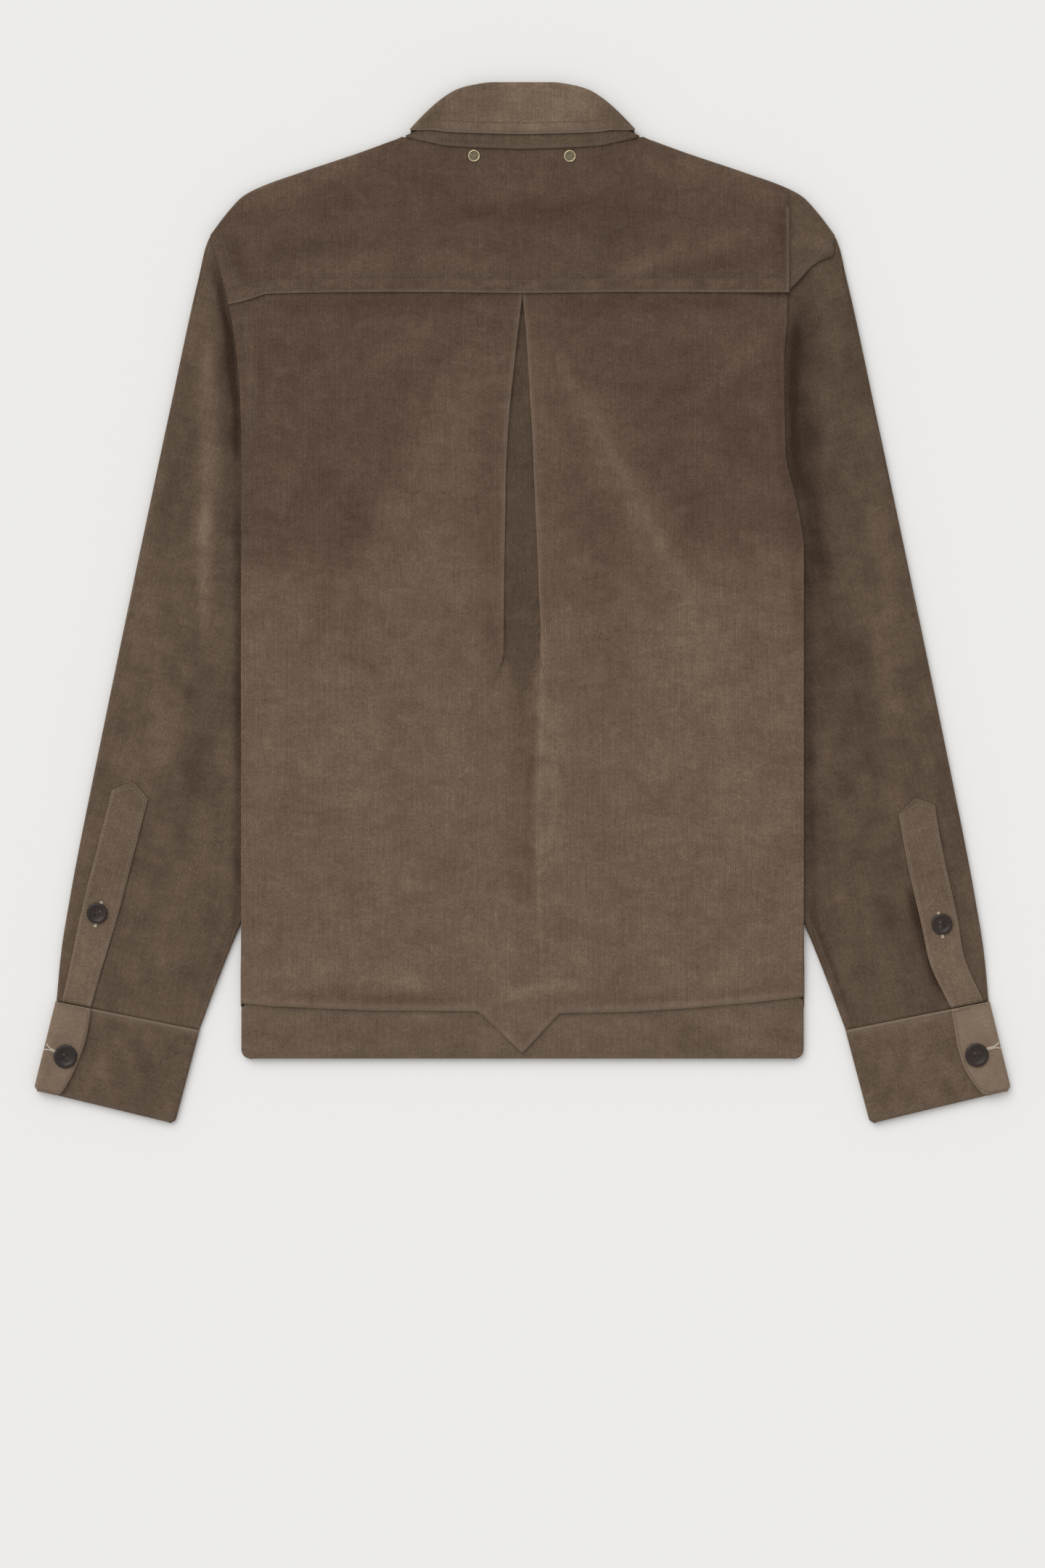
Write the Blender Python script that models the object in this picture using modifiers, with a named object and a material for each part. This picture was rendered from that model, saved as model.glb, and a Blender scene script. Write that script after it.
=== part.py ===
"""A corduroy overshirt laid flat with its back up.

X runs across the garment, Y from the hem to the collar and Z up from the surface it lies on.
Sizes are in millimetres here and in metres on the finished meshes. Each cloth piece is the middle
surface of its wall, given its thickness by Solidify.
"""
import math

import bmesh
import bpy

MM = 0.001

# Cloth
CLOTH = 1.1
HALF = CLOTH / 2
GAP = 0.3
LAYER = CLOTH + GAP
CUFF_WALL = 1.8
BAND_WALL = 1.6

# Body
BODY_HALF_WIDTH = 213.4
HEM = -344.6
HEM_TOP = -306.0
EDGE_CLEAR = 0.58
UNDERARM = 45.0
FRONT_OVERLAP = 17.0

# How far the layers rise above what they lie on
BACK_HEIGHT = 5.0
OVER_SLEEVE_FRONT = 4.1
OVER_SLEEVE_BACK = 1.7
PLEAT_RISE = 4.0
MIDDLE_RISE = 1.1
HEM_RISE = 1.4
YOKE_LAP_RISE = 1.65
YOKE_REST_RISE = 0.4
YOKE_FOLD_RISE = 2.4
FRONT_LAP_RISE = 1.95
BAND_LAP_RISE = 2.1
BUTTON_CHANNEL = 2.2

# Where a rise starts or ends, and over how far it comes up
SLEEVE_INSIDE = 54.0
SLEEVE_RUN = 28.0
UNDERARM_REACH = 85.0
UNDERARM_RUN = 60.0
ABOVE_HEM = (-304.0, 70.0)
COLLAR_POINTS_ALONG = (236.0, 18.0)
COLLAR_POINTS_ACROSS = (106.0, 18.0)
CHANNEL_BOTTOM = (-292.0, 28.0)
CHANNEL_TOP = (258.0, 20.0)
CHANNEL_ACROSS = (21.0, 9.0)
PLEAT_SWELL_ACROSS = (95.0, 70.0)
PLEAT_SWELL_TOP = (345.0, 90.0)
PLEAT_SWELL_BOTTOM = (42.0, 40.0)
MIDDLE_SWELL_ACROSS = (60.0, 35.0)
HEM_SWELL = (-250.0, 45.0)
YOKE_LAP_REACH = (26.0, 14.0)
YOKE_FOLD_REACH = (40.0, 38.0)
YOKE_FOLD_TOP = (314.0, 18.0)

# Sleeve
SLEEVE_LOW = HALF
SLEEVE_HIGH = 3.15
SLEEVE_CROWN = 1.9

# Inverted pleat
PLEAT_PITCH = 1.5
PLEAT_DEPTH = 30.0
PLEAT_END = -35.0
PLEAT_UNROLL = 25.0
PLEAT_CLOSE = 60.0

# Half of the shoulder line, neck to sleeve head: x, y
SHOULDER = ((90.5, 352.8), (123.5, 340.7), (167.5, 325.9), (200.5, 313.8), (211.5, 307.7),
            (222.5, 296.2), (236.2, 278.0))
# Seam of the stand at the back neck: half x, y
NECK_SEAM = ((0.0, 343.2), (35.5, 344.3), (58.6, 345.7), (70.0, 348.0), (87.2, 349.0))
# Top fold of the collar: half x, y
COLLAR_FOLD = ((0.0, 394.0), (22.0, 394.0), (38.5, 391.8), (49.5, 388.6), (60.5, 382.0),
               (71.5, 372.6), (77.0, 367.1), (82.2, 361.6), (84.7, 358.6))
# Lower edge of the collar leaf at the back: half x, y
LEAF_EDGE = ((0.0, 354.1), (35.5, 355.0), (58.6, 356.1), (68.5, 357.4), (84.7, 357.2))
# Seam between yoke and back: x, y
YOKE_SEAM = ((-222.8, 225.8), (-216.7, 226.9), (-203.0, 230.7), (-193.0, 233.8), (-88.0, 235.1),
             (0.0, 234.0), (88.0, 235.1), (201.3, 234.8), (240.0, 234.8))
# Seam between back and hem band, with its V: x, y
HEM_SEAM = ((-213.4, -302.8), (-117.0, -308.3), (-33.3, -309.0), (0.0, -340.7), (28.0, -310.5),
            (128.0, -306.4), (213.4, -297.6))
# Left edge of yoke and back: y, x
LEFT_EDGE = ((-345.0, -213.4), (120.0, -213.4), (155.0, -214.2), (181.0, -216.0),
             (226.0, -222.8), (258.0, -230.7), (278.0, -236.2), (360.0, -236.2))
# Right edge of the back: y, x
RIGHT_EDGE = ((-345.0, 213.4), (40.0, 213.4), (75.0, 208.0), (115.0, 199.5), (186.0, 198.6),
              (214.0, 200.6), (300.0, 201.3))
# Right edge of the yoke, the armhole seam of its turned end: y, x
YOKE_RIGHT_EDGE = ((200.0, 202.0), (236.0, 202.2), (243.0, 208.2), (254.0, 218.5),
                   (264.0, 229.0), (273.0, 236.2), (360.0, 236.2))
YOKE_FOLD = 201.3
YOKE_LAP = 8.0

# The sleeve's two edges as it lies, armhole to cuff: share of its length, outer x, y, inner x, y
SLEEVE_EDGES = ((0.00, 203.0, 298.0, 185.0, 45.0), (0.05, 236.6, 277.0, 178.0, 25.0),
                (0.10, 245.0, 246.0, 166.0, 8.0), (0.25, 265.9, 150.0, 152.0, -60.0),
                (0.45, 291.6, 29.0, 158.0, -120.0), (0.65, 317.4, -95.0, 184.0, -180.0),
                (0.85, 342.5, -222.0, 214.0, -244.5), (0.95, 349.8, -268.0, 233.0, -292.0),
                (1.00, 353.0, -301.2, 244.7, -323.2))

# The cuff as it lies: corners x, y
CUFF_SEAM_OUTER = (353.6, -301.9)
CUFF_SEAM_INNER = (244.6, -323.8)
CUFF_END_OUTER = (370.0, -368.2)
CUFF_END_INNER = (263.2, -394.0)
CUFF_LAP = 0.26
CUFF_TUCK = 0.12
CUFF_TOP = 3.9

# Sleeve plackets: the strip's centre line at the cuff and at its point, x, y
PLACKETS = {"left": ((337.7, -303.8), (294.5, -135.6)), "right": ((337.3, -304.2), (297.3, -147.7))}
PLACKET_HALF_WIDTH = 12.3

# Buttons and eyelets: radius, and places x, y
CUFF_BUTTON = 9.0
CUFF_BUTTON_AT = {"left": (-345.5, -342.8), "right": (343.5, -341.8)}
PLACKET_BUTTON = 8.0
PLACKET_BUTTON_AT = {"left": (-321.5, -234.6), "right": (317.1, -242.8)}
FRONT_BUTTON = 9.0
FRONT_BUTTON_TOP = 225.0
FRONT_BUTTON_STEP = 93.0
FRONT_BUTTONS = 6
BUTTON_THICKNESS = 1.9
EYELET_AT = {"left": (-36.7, 338.1), "right": (35.8, 337.9)}
EYELET_OUTER = 4.5
EYELET_INNER = 3.7
EYELET_THICKNESS = 0.8
EYELET_ROUND = 0.3

SIDES = {"left": -1, "right": 1}


def smooth(t):
    """Ease from 0 to 1."""
    t = min(1.0, max(0.0, t))
    return t * t * (3 - 2 * t)


def read(table, at, column=1):
    """Value of a column of a table at a place in its first column, on straight lines."""
    if at <= table[0][0]:
        return table[0][column]
    for low, high in zip(table, table[1:]):
        if at <= high[0]:
            share = (at - low[0]) / (high[0] - low[0])
            return low[column] + (high[column] - low[column]) * share
    return table[-1][column]


def mix(a, b, share):
    return a + (b - a) * share


# Heights of the layers

def sleeve_inner_edge(y):
    """Where the hidden inner edge of the sleeve lies under the body."""
    rows = sorted((row[4], row[3]) for row in SLEEVE_EDGES)
    return read(rows, y)


def up(value, start, run):
    """0 up to a start, 1 from a run further on."""
    return smooth((value - start) / run)


def down(value, end, run):
    """1 until a run before an end, 0 from the end on."""
    return smooth((end - value) / run)


def over_sleeve(x, y):
    """How fully the body lies on the sleeve: 0 beside it, 1 on it."""
    hidden_edge = sleeve_inner_edge(min(y, UNDERARM))
    across = up(abs(x), hidden_edge - SLEEVE_INSIDE, SLEEVE_RUN)
    return across * down(y, UNDERARM + UNDERARM_REACH, UNDERARM_RUN) * up(y, *ABOVE_HEM)


def over_collar(x, y):
    """How fully the fronts lie on the points of the collar."""
    return up(y, *COLLAR_POINTS_ALONG) * down(abs(x), *COLLAR_POINTS_ACROSS)


def button_channel(x, y):
    """Room for the front buttons under the fronts."""
    return up(y, *CHANNEL_BOTTOM) * down(y, *CHANNEL_TOP) * down(abs(x), *CHANNEL_ACROSS)


def front_low(x, y):
    """Lower face of the fronts above the surface."""
    return (OVER_SLEEVE_FRONT * over_sleeve(x, y) + LAYER * over_collar(x, y)
            + BUTTON_CHANNEL * button_channel(x, y))


def pleated(y):
    """1 where the pleat swells the back, 0 below its end."""
    before, run = PLEAT_SWELL_BOTTOM
    return up(y, PLEAT_END - before, run)


def back_height(x, y):
    """Middle of the back's wall."""
    pleat = (PLEAT_RISE * down(abs(x), *PLEAT_SWELL_ACROSS) * pleated(y)
             * down(y, *PLEAT_SWELL_TOP))
    below = MIDDLE_RISE * down(abs(x), *MIDDLE_SWELL_ACROSS) * (1 - pleated(y))
    hem = HEM_RISE * down(y, *HEM_SWELL)
    return BACK_HEIGHT + OVER_SLEEVE_BACK * over_sleeve(x, y) + max(pleat, below, hem)


def yoke_height(x, y):
    """Middle of the yoke's wall, lapped over the back along its seam."""
    reach, run = YOKE_LAP_REACH
    lap = YOKE_LAP_RISE * down(y, read(YOKE_SEAM, x) + reach, run)
    before, run = YOKE_FOLD_REACH
    fold = 0.0
    if x < YOKE_FOLD:
        fold = YOKE_FOLD_RISE * up(x, YOKE_FOLD - before, run) * down(y, *YOKE_FOLD_TOP)
    return back_height(x, y) + max(lap, YOKE_REST_RISE) + fold


# Making pieces

def material(name, red, green, blue, roughness, metallic=0.0):
    made = bpy.data.materials.new(name)
    made.use_nodes = True
    shader = made.node_tree.nodes["Principled BSDF"]
    shader.inputs["Base Color"].default_value = (red, green, blue, 1)
    shader.inputs["Roughness"].default_value = roughness
    shader.inputs["Metallic"].default_value = metallic
    return made


def sheet(name, columns, rows, place, wall, finish, closed=False):
    """A wall of cloth. place(column, row) gives a point of its middle surface."""
    grid = bmesh.new()
    bmesh.ops.create_grid(grid, x_segments=columns, y_segments=rows, size=1)
    for vert in grid.verts:
        column = round((vert.co.x + 1) / 2 * columns)
        row = round((vert.co.y + 1) / 2 * rows)
        vert.co = [value * MM for value in place(column, row)]
    if closed:
        bmesh.ops.remove_doubles(grid, verts=grid.verts, dist=0.00001)
        bmesh.ops.recalc_face_normals(grid, faces=grid.faces)
    mesh = bpy.data.meshes.new(name)
    grid.to_mesh(mesh)
    grid.free()
    mesh.shade_smooth()
    piece = bpy.data.objects.new(name, mesh)
    garment.objects.link(piece)
    mesh.materials.append(finish)
    thick = piece.modifiers.new("Wall", "SOLIDIFY")
    thick.thickness = wall * MM
    thick.offset = 0
    return piece


def turned(name, profile, steps, at, finish):
    """A turned piece from its profile of radius and height."""
    mesh = bpy.data.meshes.new(name)
    outline = [(radius * MM, 0, height * MM) for radius, height in profile]
    links = [(i, i + 1) for i in range(len(outline) - 1)]
    if outline[0][0] > 0:
        links.append((len(outline) - 1, 0))
    mesh.from_pydata(outline, links, [])
    piece = bpy.data.objects.new(name, mesh)
    garment.objects.link(piece)
    mesh.materials.append(finish)
    piece.location = [value * MM for value in at]
    screw = piece.modifiers.new("Turned", "SCREW")
    screw.steps = steps
    screw.render_steps = steps
    screw.use_merge_vertices = True
    screw.merge_threshold = 0.00001
    screw.use_normal_calculate = True
    return piece


# Body

SETTLE = 14  # rounds in which a point's x and y settle, as each edge depends on the other
BACK_ROWS = (0, 0.05, 0.14, 0.25, 0.35, 0.42, 0.46, 0.475, 0.49, 0.505, 0.53, 0.57, 0.63, 0.70,
             0.77, 0.84, 0.90, 0.95, 1)
ROLL_STEPS = 2
SIDE_SPANS = 7
FOLD_STEPS = 3
RETURN_STEPS = 2
UNDERLAY_STEPS = 4
PLEAT_STEPS = 2 * FOLD_STEPS + RETURN_STEPS + UNDERLAY_STEPS
HALF_BACK = ROLL_STEPS + SIDE_SPANS + PLEAT_STEPS
PLEAT_FLAT = {-1: 33.3, 1: 28.0}


def roll(step, top, bottom, wall=CLOTH):
    """Inset and height of a quarter roll at an edge: step 0 is the edge, halfway up."""
    outer = (top - bottom) / 2
    radius = outer - wall / 2
    angle = step / ROLL_STEPS * math.pi / 2
    rise = max(radius * math.sin(angle), EDGE_CLEAR * wall)
    return outer - radius * math.cos(angle), (top + bottom) / 2 + rise


ARMHOLE_EDGE = 1.6
ARMHOLE_RUN = 40.0


def side_bottom(y):
    """Lower end of the back's side roll: the fronts' face, or just under the armhole edge."""
    armhole = back_height(BODY_HALF_WIDTH, y) + HALF - ARMHOLE_EDGE
    return mix(front_low(BODY_HALF_WIDTH, y), armhole, up(y, UNDERARM - 5, ARMHOLE_RUN))


FOLD_START = 0.4
FOLD_SPREAD = {-1: 14.4, 1: 13.8}
FOLD_TOP = 236.0
FOLD_RUN = 330.0
FOLD_CURVE = 0.6


def fold_edge(side, y):
    """The pleat's edge, as a distance from the middle that grows on the way down."""
    return FOLD_START + FOLD_SPREAD[side] * down(y, FOLD_TOP, FOLD_RUN) ** FOLD_CURVE


def pleat_point(step, side, y):
    """Half of the pleat: over the fold, back under it and in to the middle, flat lower down."""
    radius = PLEAT_PITCH / 2
    centre = -fold_edge(side, y) - radius
    depth = max(1.0, PLEAT_DEPTH * up(y, PLEAT_END - 4, PLEAT_CLOSE))
    height = back_height(centre, y)
    if step <= FOLD_STEPS:
        turn = math.pi * step / FOLD_STEPS
        x = centre + radius * math.sin(turn)
        z = height - radius + radius * math.cos(turn)
    elif step <= FOLD_STEPS + RETURN_STEPS:
        x = centre - depth * (step - FOLD_STEPS) / RETURN_STEPS
        z = height - PLEAT_PITCH
    elif step <= 2 * FOLD_STEPS + RETURN_STEPS:
        turn = math.pi * (step - FOLD_STEPS - RETURN_STEPS) / FOLD_STEPS
        x = centre - depth - radius * math.sin(turn)
        z = height - 3 * radius + radius * math.cos(turn)
    else:
        x = (centre - depth) * (PLEAT_STEPS - step) / UNDERLAY_STEPS
        z = height - 2 * PLEAT_PITCH
    flat_x = -PLEAT_FLAT[side] * (1 - step / PLEAT_STEPS)
    out = down(y, PLEAT_END, PLEAT_UNROLL)
    return -side * mix(x, flat_x, out), mix(z, back_height(flat_x, y), out)


def back_section(column, y):
    """Across the back at a height: side roll, panel and half of the pleat, then the same back."""
    side = -1 if column <= HALF_BACK else 1
    step = column if side < 0 else 2 * HALF_BACK - column
    outer = abs(read(LEFT_EDGE if side < 0 else RIGHT_EDGE, y))
    inset, z = roll(min(step, ROLL_STEPS), back_height(outer, y) + HALF, side_bottom(y))
    if step <= ROLL_STEPS:
        return side * (outer - inset), z
    if step > ROLL_STEPS + SIDE_SPANS:
        return pleat_point(step - ROLL_STEPS - SIDE_SPANS, side, y)
    start, _ = pleat_point(0, side, y)
    x = mix(side * (outer - inset), start, (step - ROLL_STEPS) / SIDE_SPANS)
    return x, back_height(x, y)


def back_point(column, row):
    x = 0
    for _ in range(SETTLE):
        y = mix(read(HEM_SEAM, x), read(YOKE_SEAM, x) + YOKE_LAP, BACK_ROWS[row])
        x, z = back_section(column, y)
    return x, y, z


YOKE_COLUMNS = (-236.2, -215.0, -190.0, -150.0, -115.0, -91.3, -88.8, -84.5, -77.0, -55.0, -20.0,
                20.0, 55.0, 77.0, 84.5, 88.8, 91.3, 115.0, 150.0, 180.0, 194.0, 201.1)
YOKE_SPANS = len(YOKE_COLUMNS) - 1
YOKE_END_SPANS = 3
YOKE_ROWS = (0, 0.07, 0.16, 0.3, 0.45, 0.6, 0.75, 0.88)
NECK_END = 84.0
NECK_LAP = 6.0
NECK_CLEAR = 0.4
NECK_STEP = 6.0
SHOULDER_START = 91.0
SHOULDER_STOP = 232.0
SHOULDER_RUNS = (5.0, 8.0)
EDGE_STEP = 0.9
ROLL_CLEAR = 1.5


def shoulder_top(x):
    """Outline of the shoulders, stepped down beside the collar."""
    if abs(x) >= SHOULDER_START:
        return read(SHOULDER, abs(x))
    lap = NECK_LAP * down(abs(x), NECK_END, NECK_STEP)
    return read(NECK_SEAM, abs(x)) - NECK_CLEAR + lap


def shoulder_roll(x):
    """1 where the shoulder rolls over to the front, 0 at the neck and over the sleeve head."""
    start_run, stop_run = SHOULDER_RUNS
    return up(abs(x), SHOULDER_START, start_run) * down(abs(x), SHOULDER_STOP, stop_run)


def yoke_point(column, row):
    along = YOKE_ROWS[min(row, len(YOKE_ROWS) - 1)]
    over = row >= len(YOKE_ROWS)
    step = ROLL_STEPS - (row - len(YOKE_ROWS))
    x, y = 0, YOKE_SEAM[0][1]
    for _ in range(SETTLE):
        left = read(LEFT_EDGE, y)
        right = read(YOKE_RIGHT_EDGE, y)
        if column <= YOKE_SPANS:
            share = (YOKE_COLUMNS[column] - YOKE_COLUMNS[0]) / (YOKE_COLUMNS[-1] - YOKE_COLUMNS[0])
            x = mix(left, YOKE_COLUMNS[-1], share)
        else:
            x = mix(YOKE_FOLD + 0.2, right, (column - YOKE_SPANS - 1) / (YOKE_END_SPANS - 1))
        z = yoke_height(x, y)
        inset, rolled = roll(max(step, 0), z + HALF, front_low(x, y))
        amount = shoulder_roll(x)
        edge = shoulder_top(x)
        full, _ = roll(ROLL_STEPS, z + HALF, front_low(x, y))
        flat = (len(YOKE_ROWS) + ROLL_STEPS - row) * EDGE_STEP
        y = edge - mix(flat, inset, amount)
        if not over:
            start = edge - mix((ROLL_STEPS + 1) * EDGE_STEP, full + ROLL_CLEAR, amount)
            y = mix(read(YOKE_SEAM, x), start, along / YOKE_ROWS[-1])
    return x, y, mix(z, rolled, amount) if over else z


FRONT_OUTER = ((-306.0, 213.4), (10.0, 213.4), (28.0, 209.5), (42.0, 199.0), (52.0, 188.0),
               (62.0, 183.5), (75.0, 184.5), (298.0, 202.4))
FRONT_COLUMNS = (0, 0.10, 0.20, 0.30, 0.42, 0.54, 0.65, 0.76, 0.88, 1)
FRONT_MIDDLE = (21.0, 12.0, 0.0, -12.0, -17.0)
FRONT_MIDDLE_START = 32.0
FRONT_ROWS = (0, 0.03, 0.09, 0.20, 0.32, 0.42, 0.517, 0.546, 0.569, 0.59, 0.61, 0.64, 0.72, 0.80,
              0.86, 0.90, 0.95)
NECKLINE_LOW = 268.0
NECKLINE_DEPTH = 81.0
NECKLINE_HALF_WIDTH = 88.0
NECKLINE_SEAM = 1.5
FRONT_SIDE_TOP = 16.0
FRONT_SIDE_RUN = 20.0
OVERLAP_REACH = (32.0, 12.0)


def neckline(x):
    """Curve of the front neckline."""
    across = min(1.0, abs(x) / NECKLINE_HALF_WIDTH)
    return NECKLINE_LOW + NECKLINE_DEPTH * across ** 2


def front_top(x):
    """Upper edge of the fronts: the neckline, then the shoulder."""
    if abs(x) >= SHOULDER_START:
        return read(SHOULDER, abs(x))
    return neckline(x) - NECKLINE_SEAM


def overlap_rise(side, x):
    """The right front lies on the left front in the middle."""
    return down(x, *OVERLAP_REACH) if side > 0 else 0


def front_point(side, column, row):
    """Point of a front: rolled up at its side and shoulder, flat on the surface elsewhere."""
    step = min(column, ROLL_STEPS)
    up_step = ROLL_STEPS - (row - len(FRONT_ROWS))
    x, y = 0, 0
    for _ in range(SETTLE):
        outer = read(FRONT_OUTER, y)
        low = front_low(side * outer, y)
        inset, risen = roll(step, back_height(outer, y) + HALF, low)
        sideways = down(y, FRONT_SIDE_TOP, FRONT_SIDE_RUN)
        inset = mix(EDGE_STEP * step, inset, sideways)
        span = column - ROLL_STEPS
        if span < len(FRONT_COLUMNS):
            x = side * mix(outer - inset, FRONT_MIDDLE_START, FRONT_COLUMNS[max(span, 0)])
        else:
            x = side * FRONT_MIDDLE[span - len(FRONT_COLUMNS)]
        base = front_low(x, y) + HALF + FRONT_LAP_RISE * overlap_rise(side, x)
        amount = shoulder_roll(x)
        edge = front_top(x)
        top = yoke_height(x, edge) + HALF
        full, _ = roll(ROLL_STEPS, top, front_low(x, edge))
        if row >= len(FRONT_ROWS):
            up_inset, risen_up = roll(up_step, top, front_low(x, edge))
            y = edge - mix(up_step * EDGE_STEP, up_inset, amount)
            z = mix(base, top + front_low(x, edge) - risen_up, amount)
        else:
            start = edge - mix((ROLL_STEPS + 1) * EDGE_STEP, full + ROLL_CLEAR, amount)
            y = mix(HEM_TOP + GAP, start, FRONT_ROWS[row] / FRONT_ROWS[-1])
            z = base
    if column <= ROLL_STEPS:
        z = mix(z, back_height(outer, y) + HALF + low - risen, sideways)
    return x, y, z


BAND_SPANS = (0, 0.12, 0.24, 0.34, 0.415, 0.46, 0.5, 0.54, 0.57, 0.64, 0.76, 0.88, 1)
BAND_ROWS = (0, 0.06, 0.15, 0.4, 0.75, 0.82, 0.91, 1)
BAND_SIDE_SPANS = 5
BAND_MIDDLE = (20.0, -FRONT_OVERLAP)
BAND_FRONT_ROWS = 4
BAND_LAP = 6.0
HEM_CORNER = 6.6
BAND_HEIGHT = BACK_HEIGHT + HEM_RISE - HALF - GAP - BAND_WALL / 2
BAND_INSET = 2.8
BAND_INSET_REACH = (4.0, 3.0)
BAND_TOP = BAND_HEIGHT + BAND_WALL / 2


def band_edge(y, seam):
    """Half width of the hem band: rounded at the hem, inside the body where they lap."""
    below = min(HEM_CORNER, max(0.0, HEM + HEM_CORNER - y))
    corner = HEM_CORNER - math.sqrt(HEM_CORNER ** 2 - below ** 2)
    before, run = BAND_INSET_REACH
    return BODY_HALF_WIDTH - corner - BAND_INSET * up(y, seam - before, run)


def back_band_point(column, row):
    x, y = 0, HEM
    last = len(BAND_SPANS) + 2 * ROLL_STEPS - 1
    side = -1 if column < last / 2 else 1
    step = min(column, last - column)
    for _ in range(SETTLE):
        seam = read(HEM_SEAM, x)
        y = mix(HEM, seam + BAND_LAP, BAND_ROWS[row])
        edge = band_edge(y, seam)
        inset, z = roll(min(step, ROLL_STEPS), BAND_TOP, 0, BAND_WALL)
        if step <= ROLL_STEPS:
            x = side * (edge - inset)
        else:
            x = mix(-(edge - inset), edge - inset, BAND_SPANS[column - ROLL_STEPS])
            z = BAND_HEIGHT
    return x, y, z


def front_band_point(side, column, row):
    y = mix(HEM, HEM_TOP, row / BAND_FRONT_ROWS)
    edge = band_edge(y, 0)
    inset, risen = roll(min(column, ROLL_STEPS), BAND_TOP, 0, BAND_WALL)
    if column <= ROLL_STEPS:
        return side * (edge - inset), y, BAND_TOP - risen
    span = column - ROLL_STEPS
    if span <= BAND_SIDE_SPANS:
        x = side * mix(edge - inset, FRONT_MIDDLE_START, span / BAND_SIDE_SPANS)
    else:
        x = side * BAND_MIDDLE[span - BAND_SIDE_SPANS - 1]
    return x, y, BAND_WALL / 2 + BAND_LAP_RISE * overlap_rise(side, x)


# Sleeves

SLEEVE_ROWS = (0, 0.02, 0.05, 0.09, 0.15, 0.23, 0.34, 0.46, 0.58, 0.69, 0.78, 0.85, 0.90, 0.94,
               0.97, 1)
SLEEVE_UPPER = 8
SLEEVE_LOWER = 4
SLEEVE_TURN = 4
CROWN_FROM_BODY = (3.0, 26.0)
CROWN_FROM_CUFF = (6.0, 45.0)
BODY_OVER_SLEEVE = ((-345.0, 213.4), (120.0, 213.4), (155.0, 214.2), (226.0, 222.8),
                    (278.0, 236.2), (300.0, 262.0))


def above_cuff(x, y):
    """Distance up the sleeve from its cuff seam."""
    slope = (SLEEVE_EDGES[-1][2] - SLEEVE_EDGES[-1][4]) / (SLEEVE_EDGES[-1][1] - SLEEVE_EDGES[-1][3])
    return y - SLEEVE_EDGES[-1][2] + slope * (SLEEVE_EDGES[-1][1] - abs(x))


def sleeve_high(x, y):
    """Middle of the sleeve's upper wall: it swells clear of the body and the cuff."""
    body, cuff = CROWN_FROM_BODY, CROWN_FROM_CUFF
    clear = up(abs(x), read(BODY_OVER_SLEEVE, y) + body[0], body[1])
    return SLEEVE_HIGH + SLEEVE_CROWN * clear * up(above_cuff(x, y), *cuff)


def sleeve_point(side, column, row):
    """Round the flattened tube: upper wall inwards, inner turn, lower wall, outer turn."""
    share = SLEEVE_ROWS[row]
    outer = (read(SLEEVE_EDGES, share, 1), read(SLEEVE_EDGES, share, 2))
    inner = (read(SLEEVE_EDGES, share, 3), read(SLEEVE_EDGES, share, 4))
    width = math.dist(outer, inner)
    ends = [(sleeve_high(*edge) - SLEEVE_LOW) / 2 for edge in (outer, inner)]
    start = HALF + ends[0]
    stop = width - HALF - ends[1]
    if column <= SLEEVE_UPPER:
        along = mix(start, stop, column / SLEEVE_UPPER)
        z = None
    elif column <= SLEEVE_UPPER + SLEEVE_TURN:
        turn = math.pi * (column - SLEEVE_UPPER) / SLEEVE_TURN
        along = stop + ends[1] * math.sin(turn)
        z = SLEEVE_LOW + ends[1] * (1 + math.cos(turn))
    elif column <= SLEEVE_UPPER + SLEEVE_TURN + SLEEVE_LOWER:
        along = mix(stop, start, (column - SLEEVE_UPPER - SLEEVE_TURN) / SLEEVE_LOWER)
        z = SLEEVE_LOW
    else:
        turn = math.pi * (column - SLEEVE_UPPER - SLEEVE_TURN - SLEEVE_LOWER) / SLEEVE_TURN
        along = start - ends[0] * math.sin(turn)
        z = SLEEVE_LOW + ends[0] * (1 - math.cos(turn))
    x = mix(outer[0], inner[0], along / width)
    y = mix(outer[1], inner[1], along / width)
    if z is None:
        z = sleeve_high(x, y)
    return side * x, y, z


PLACKET_ROWS = (0, 0.06, 0.13, 0.2, 0.3, 0.42, 0.55, 0.7, 0.85, 0.945, 1)
PLACKET_COLUMNS = 4
PLACKET_POINT = 1.0
PLACKET_LIFT = CLOTH + 0.5


def placket_height(x, y):
    """Middle of the placket's wall on the sleeve."""
    return sleeve_high(x, y) + PLACKET_LIFT


def placket_point(name, column, row):
    """A strip up the sleeve, coming to a point."""
    low, high = PLACKETS[name]
    share = PLACKET_ROWS[row]
    half = PLACKET_HALF_WIDTH if share < 1 else PLACKET_POINT
    length = math.dist(low, high)
    across = ((high[1] - low[1]) / length, -(high[0] - low[0]) / length)
    offset = (column / PLACKET_COLUMNS * 2 - 1) * half
    x = mix(low[0], high[0], share) + across[0] * offset
    y = mix(low[1], high[1], share) + across[1] * offset
    if row == 0:
        y = -above_cuff(x, 0) + GAP
    return SIDES[name] * x, y, placket_height(x, y)


CUFF_LOW = CUFF_WALL / 2
CUFF_TAB = CUFF_TOP + CUFF_WALL + GAP
CUFF_ROWS = 4
CUFF_UNDER = 5
CUFF_BACK = 4
CUFF_OVER = 3
CUFF_TURN = 4


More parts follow.
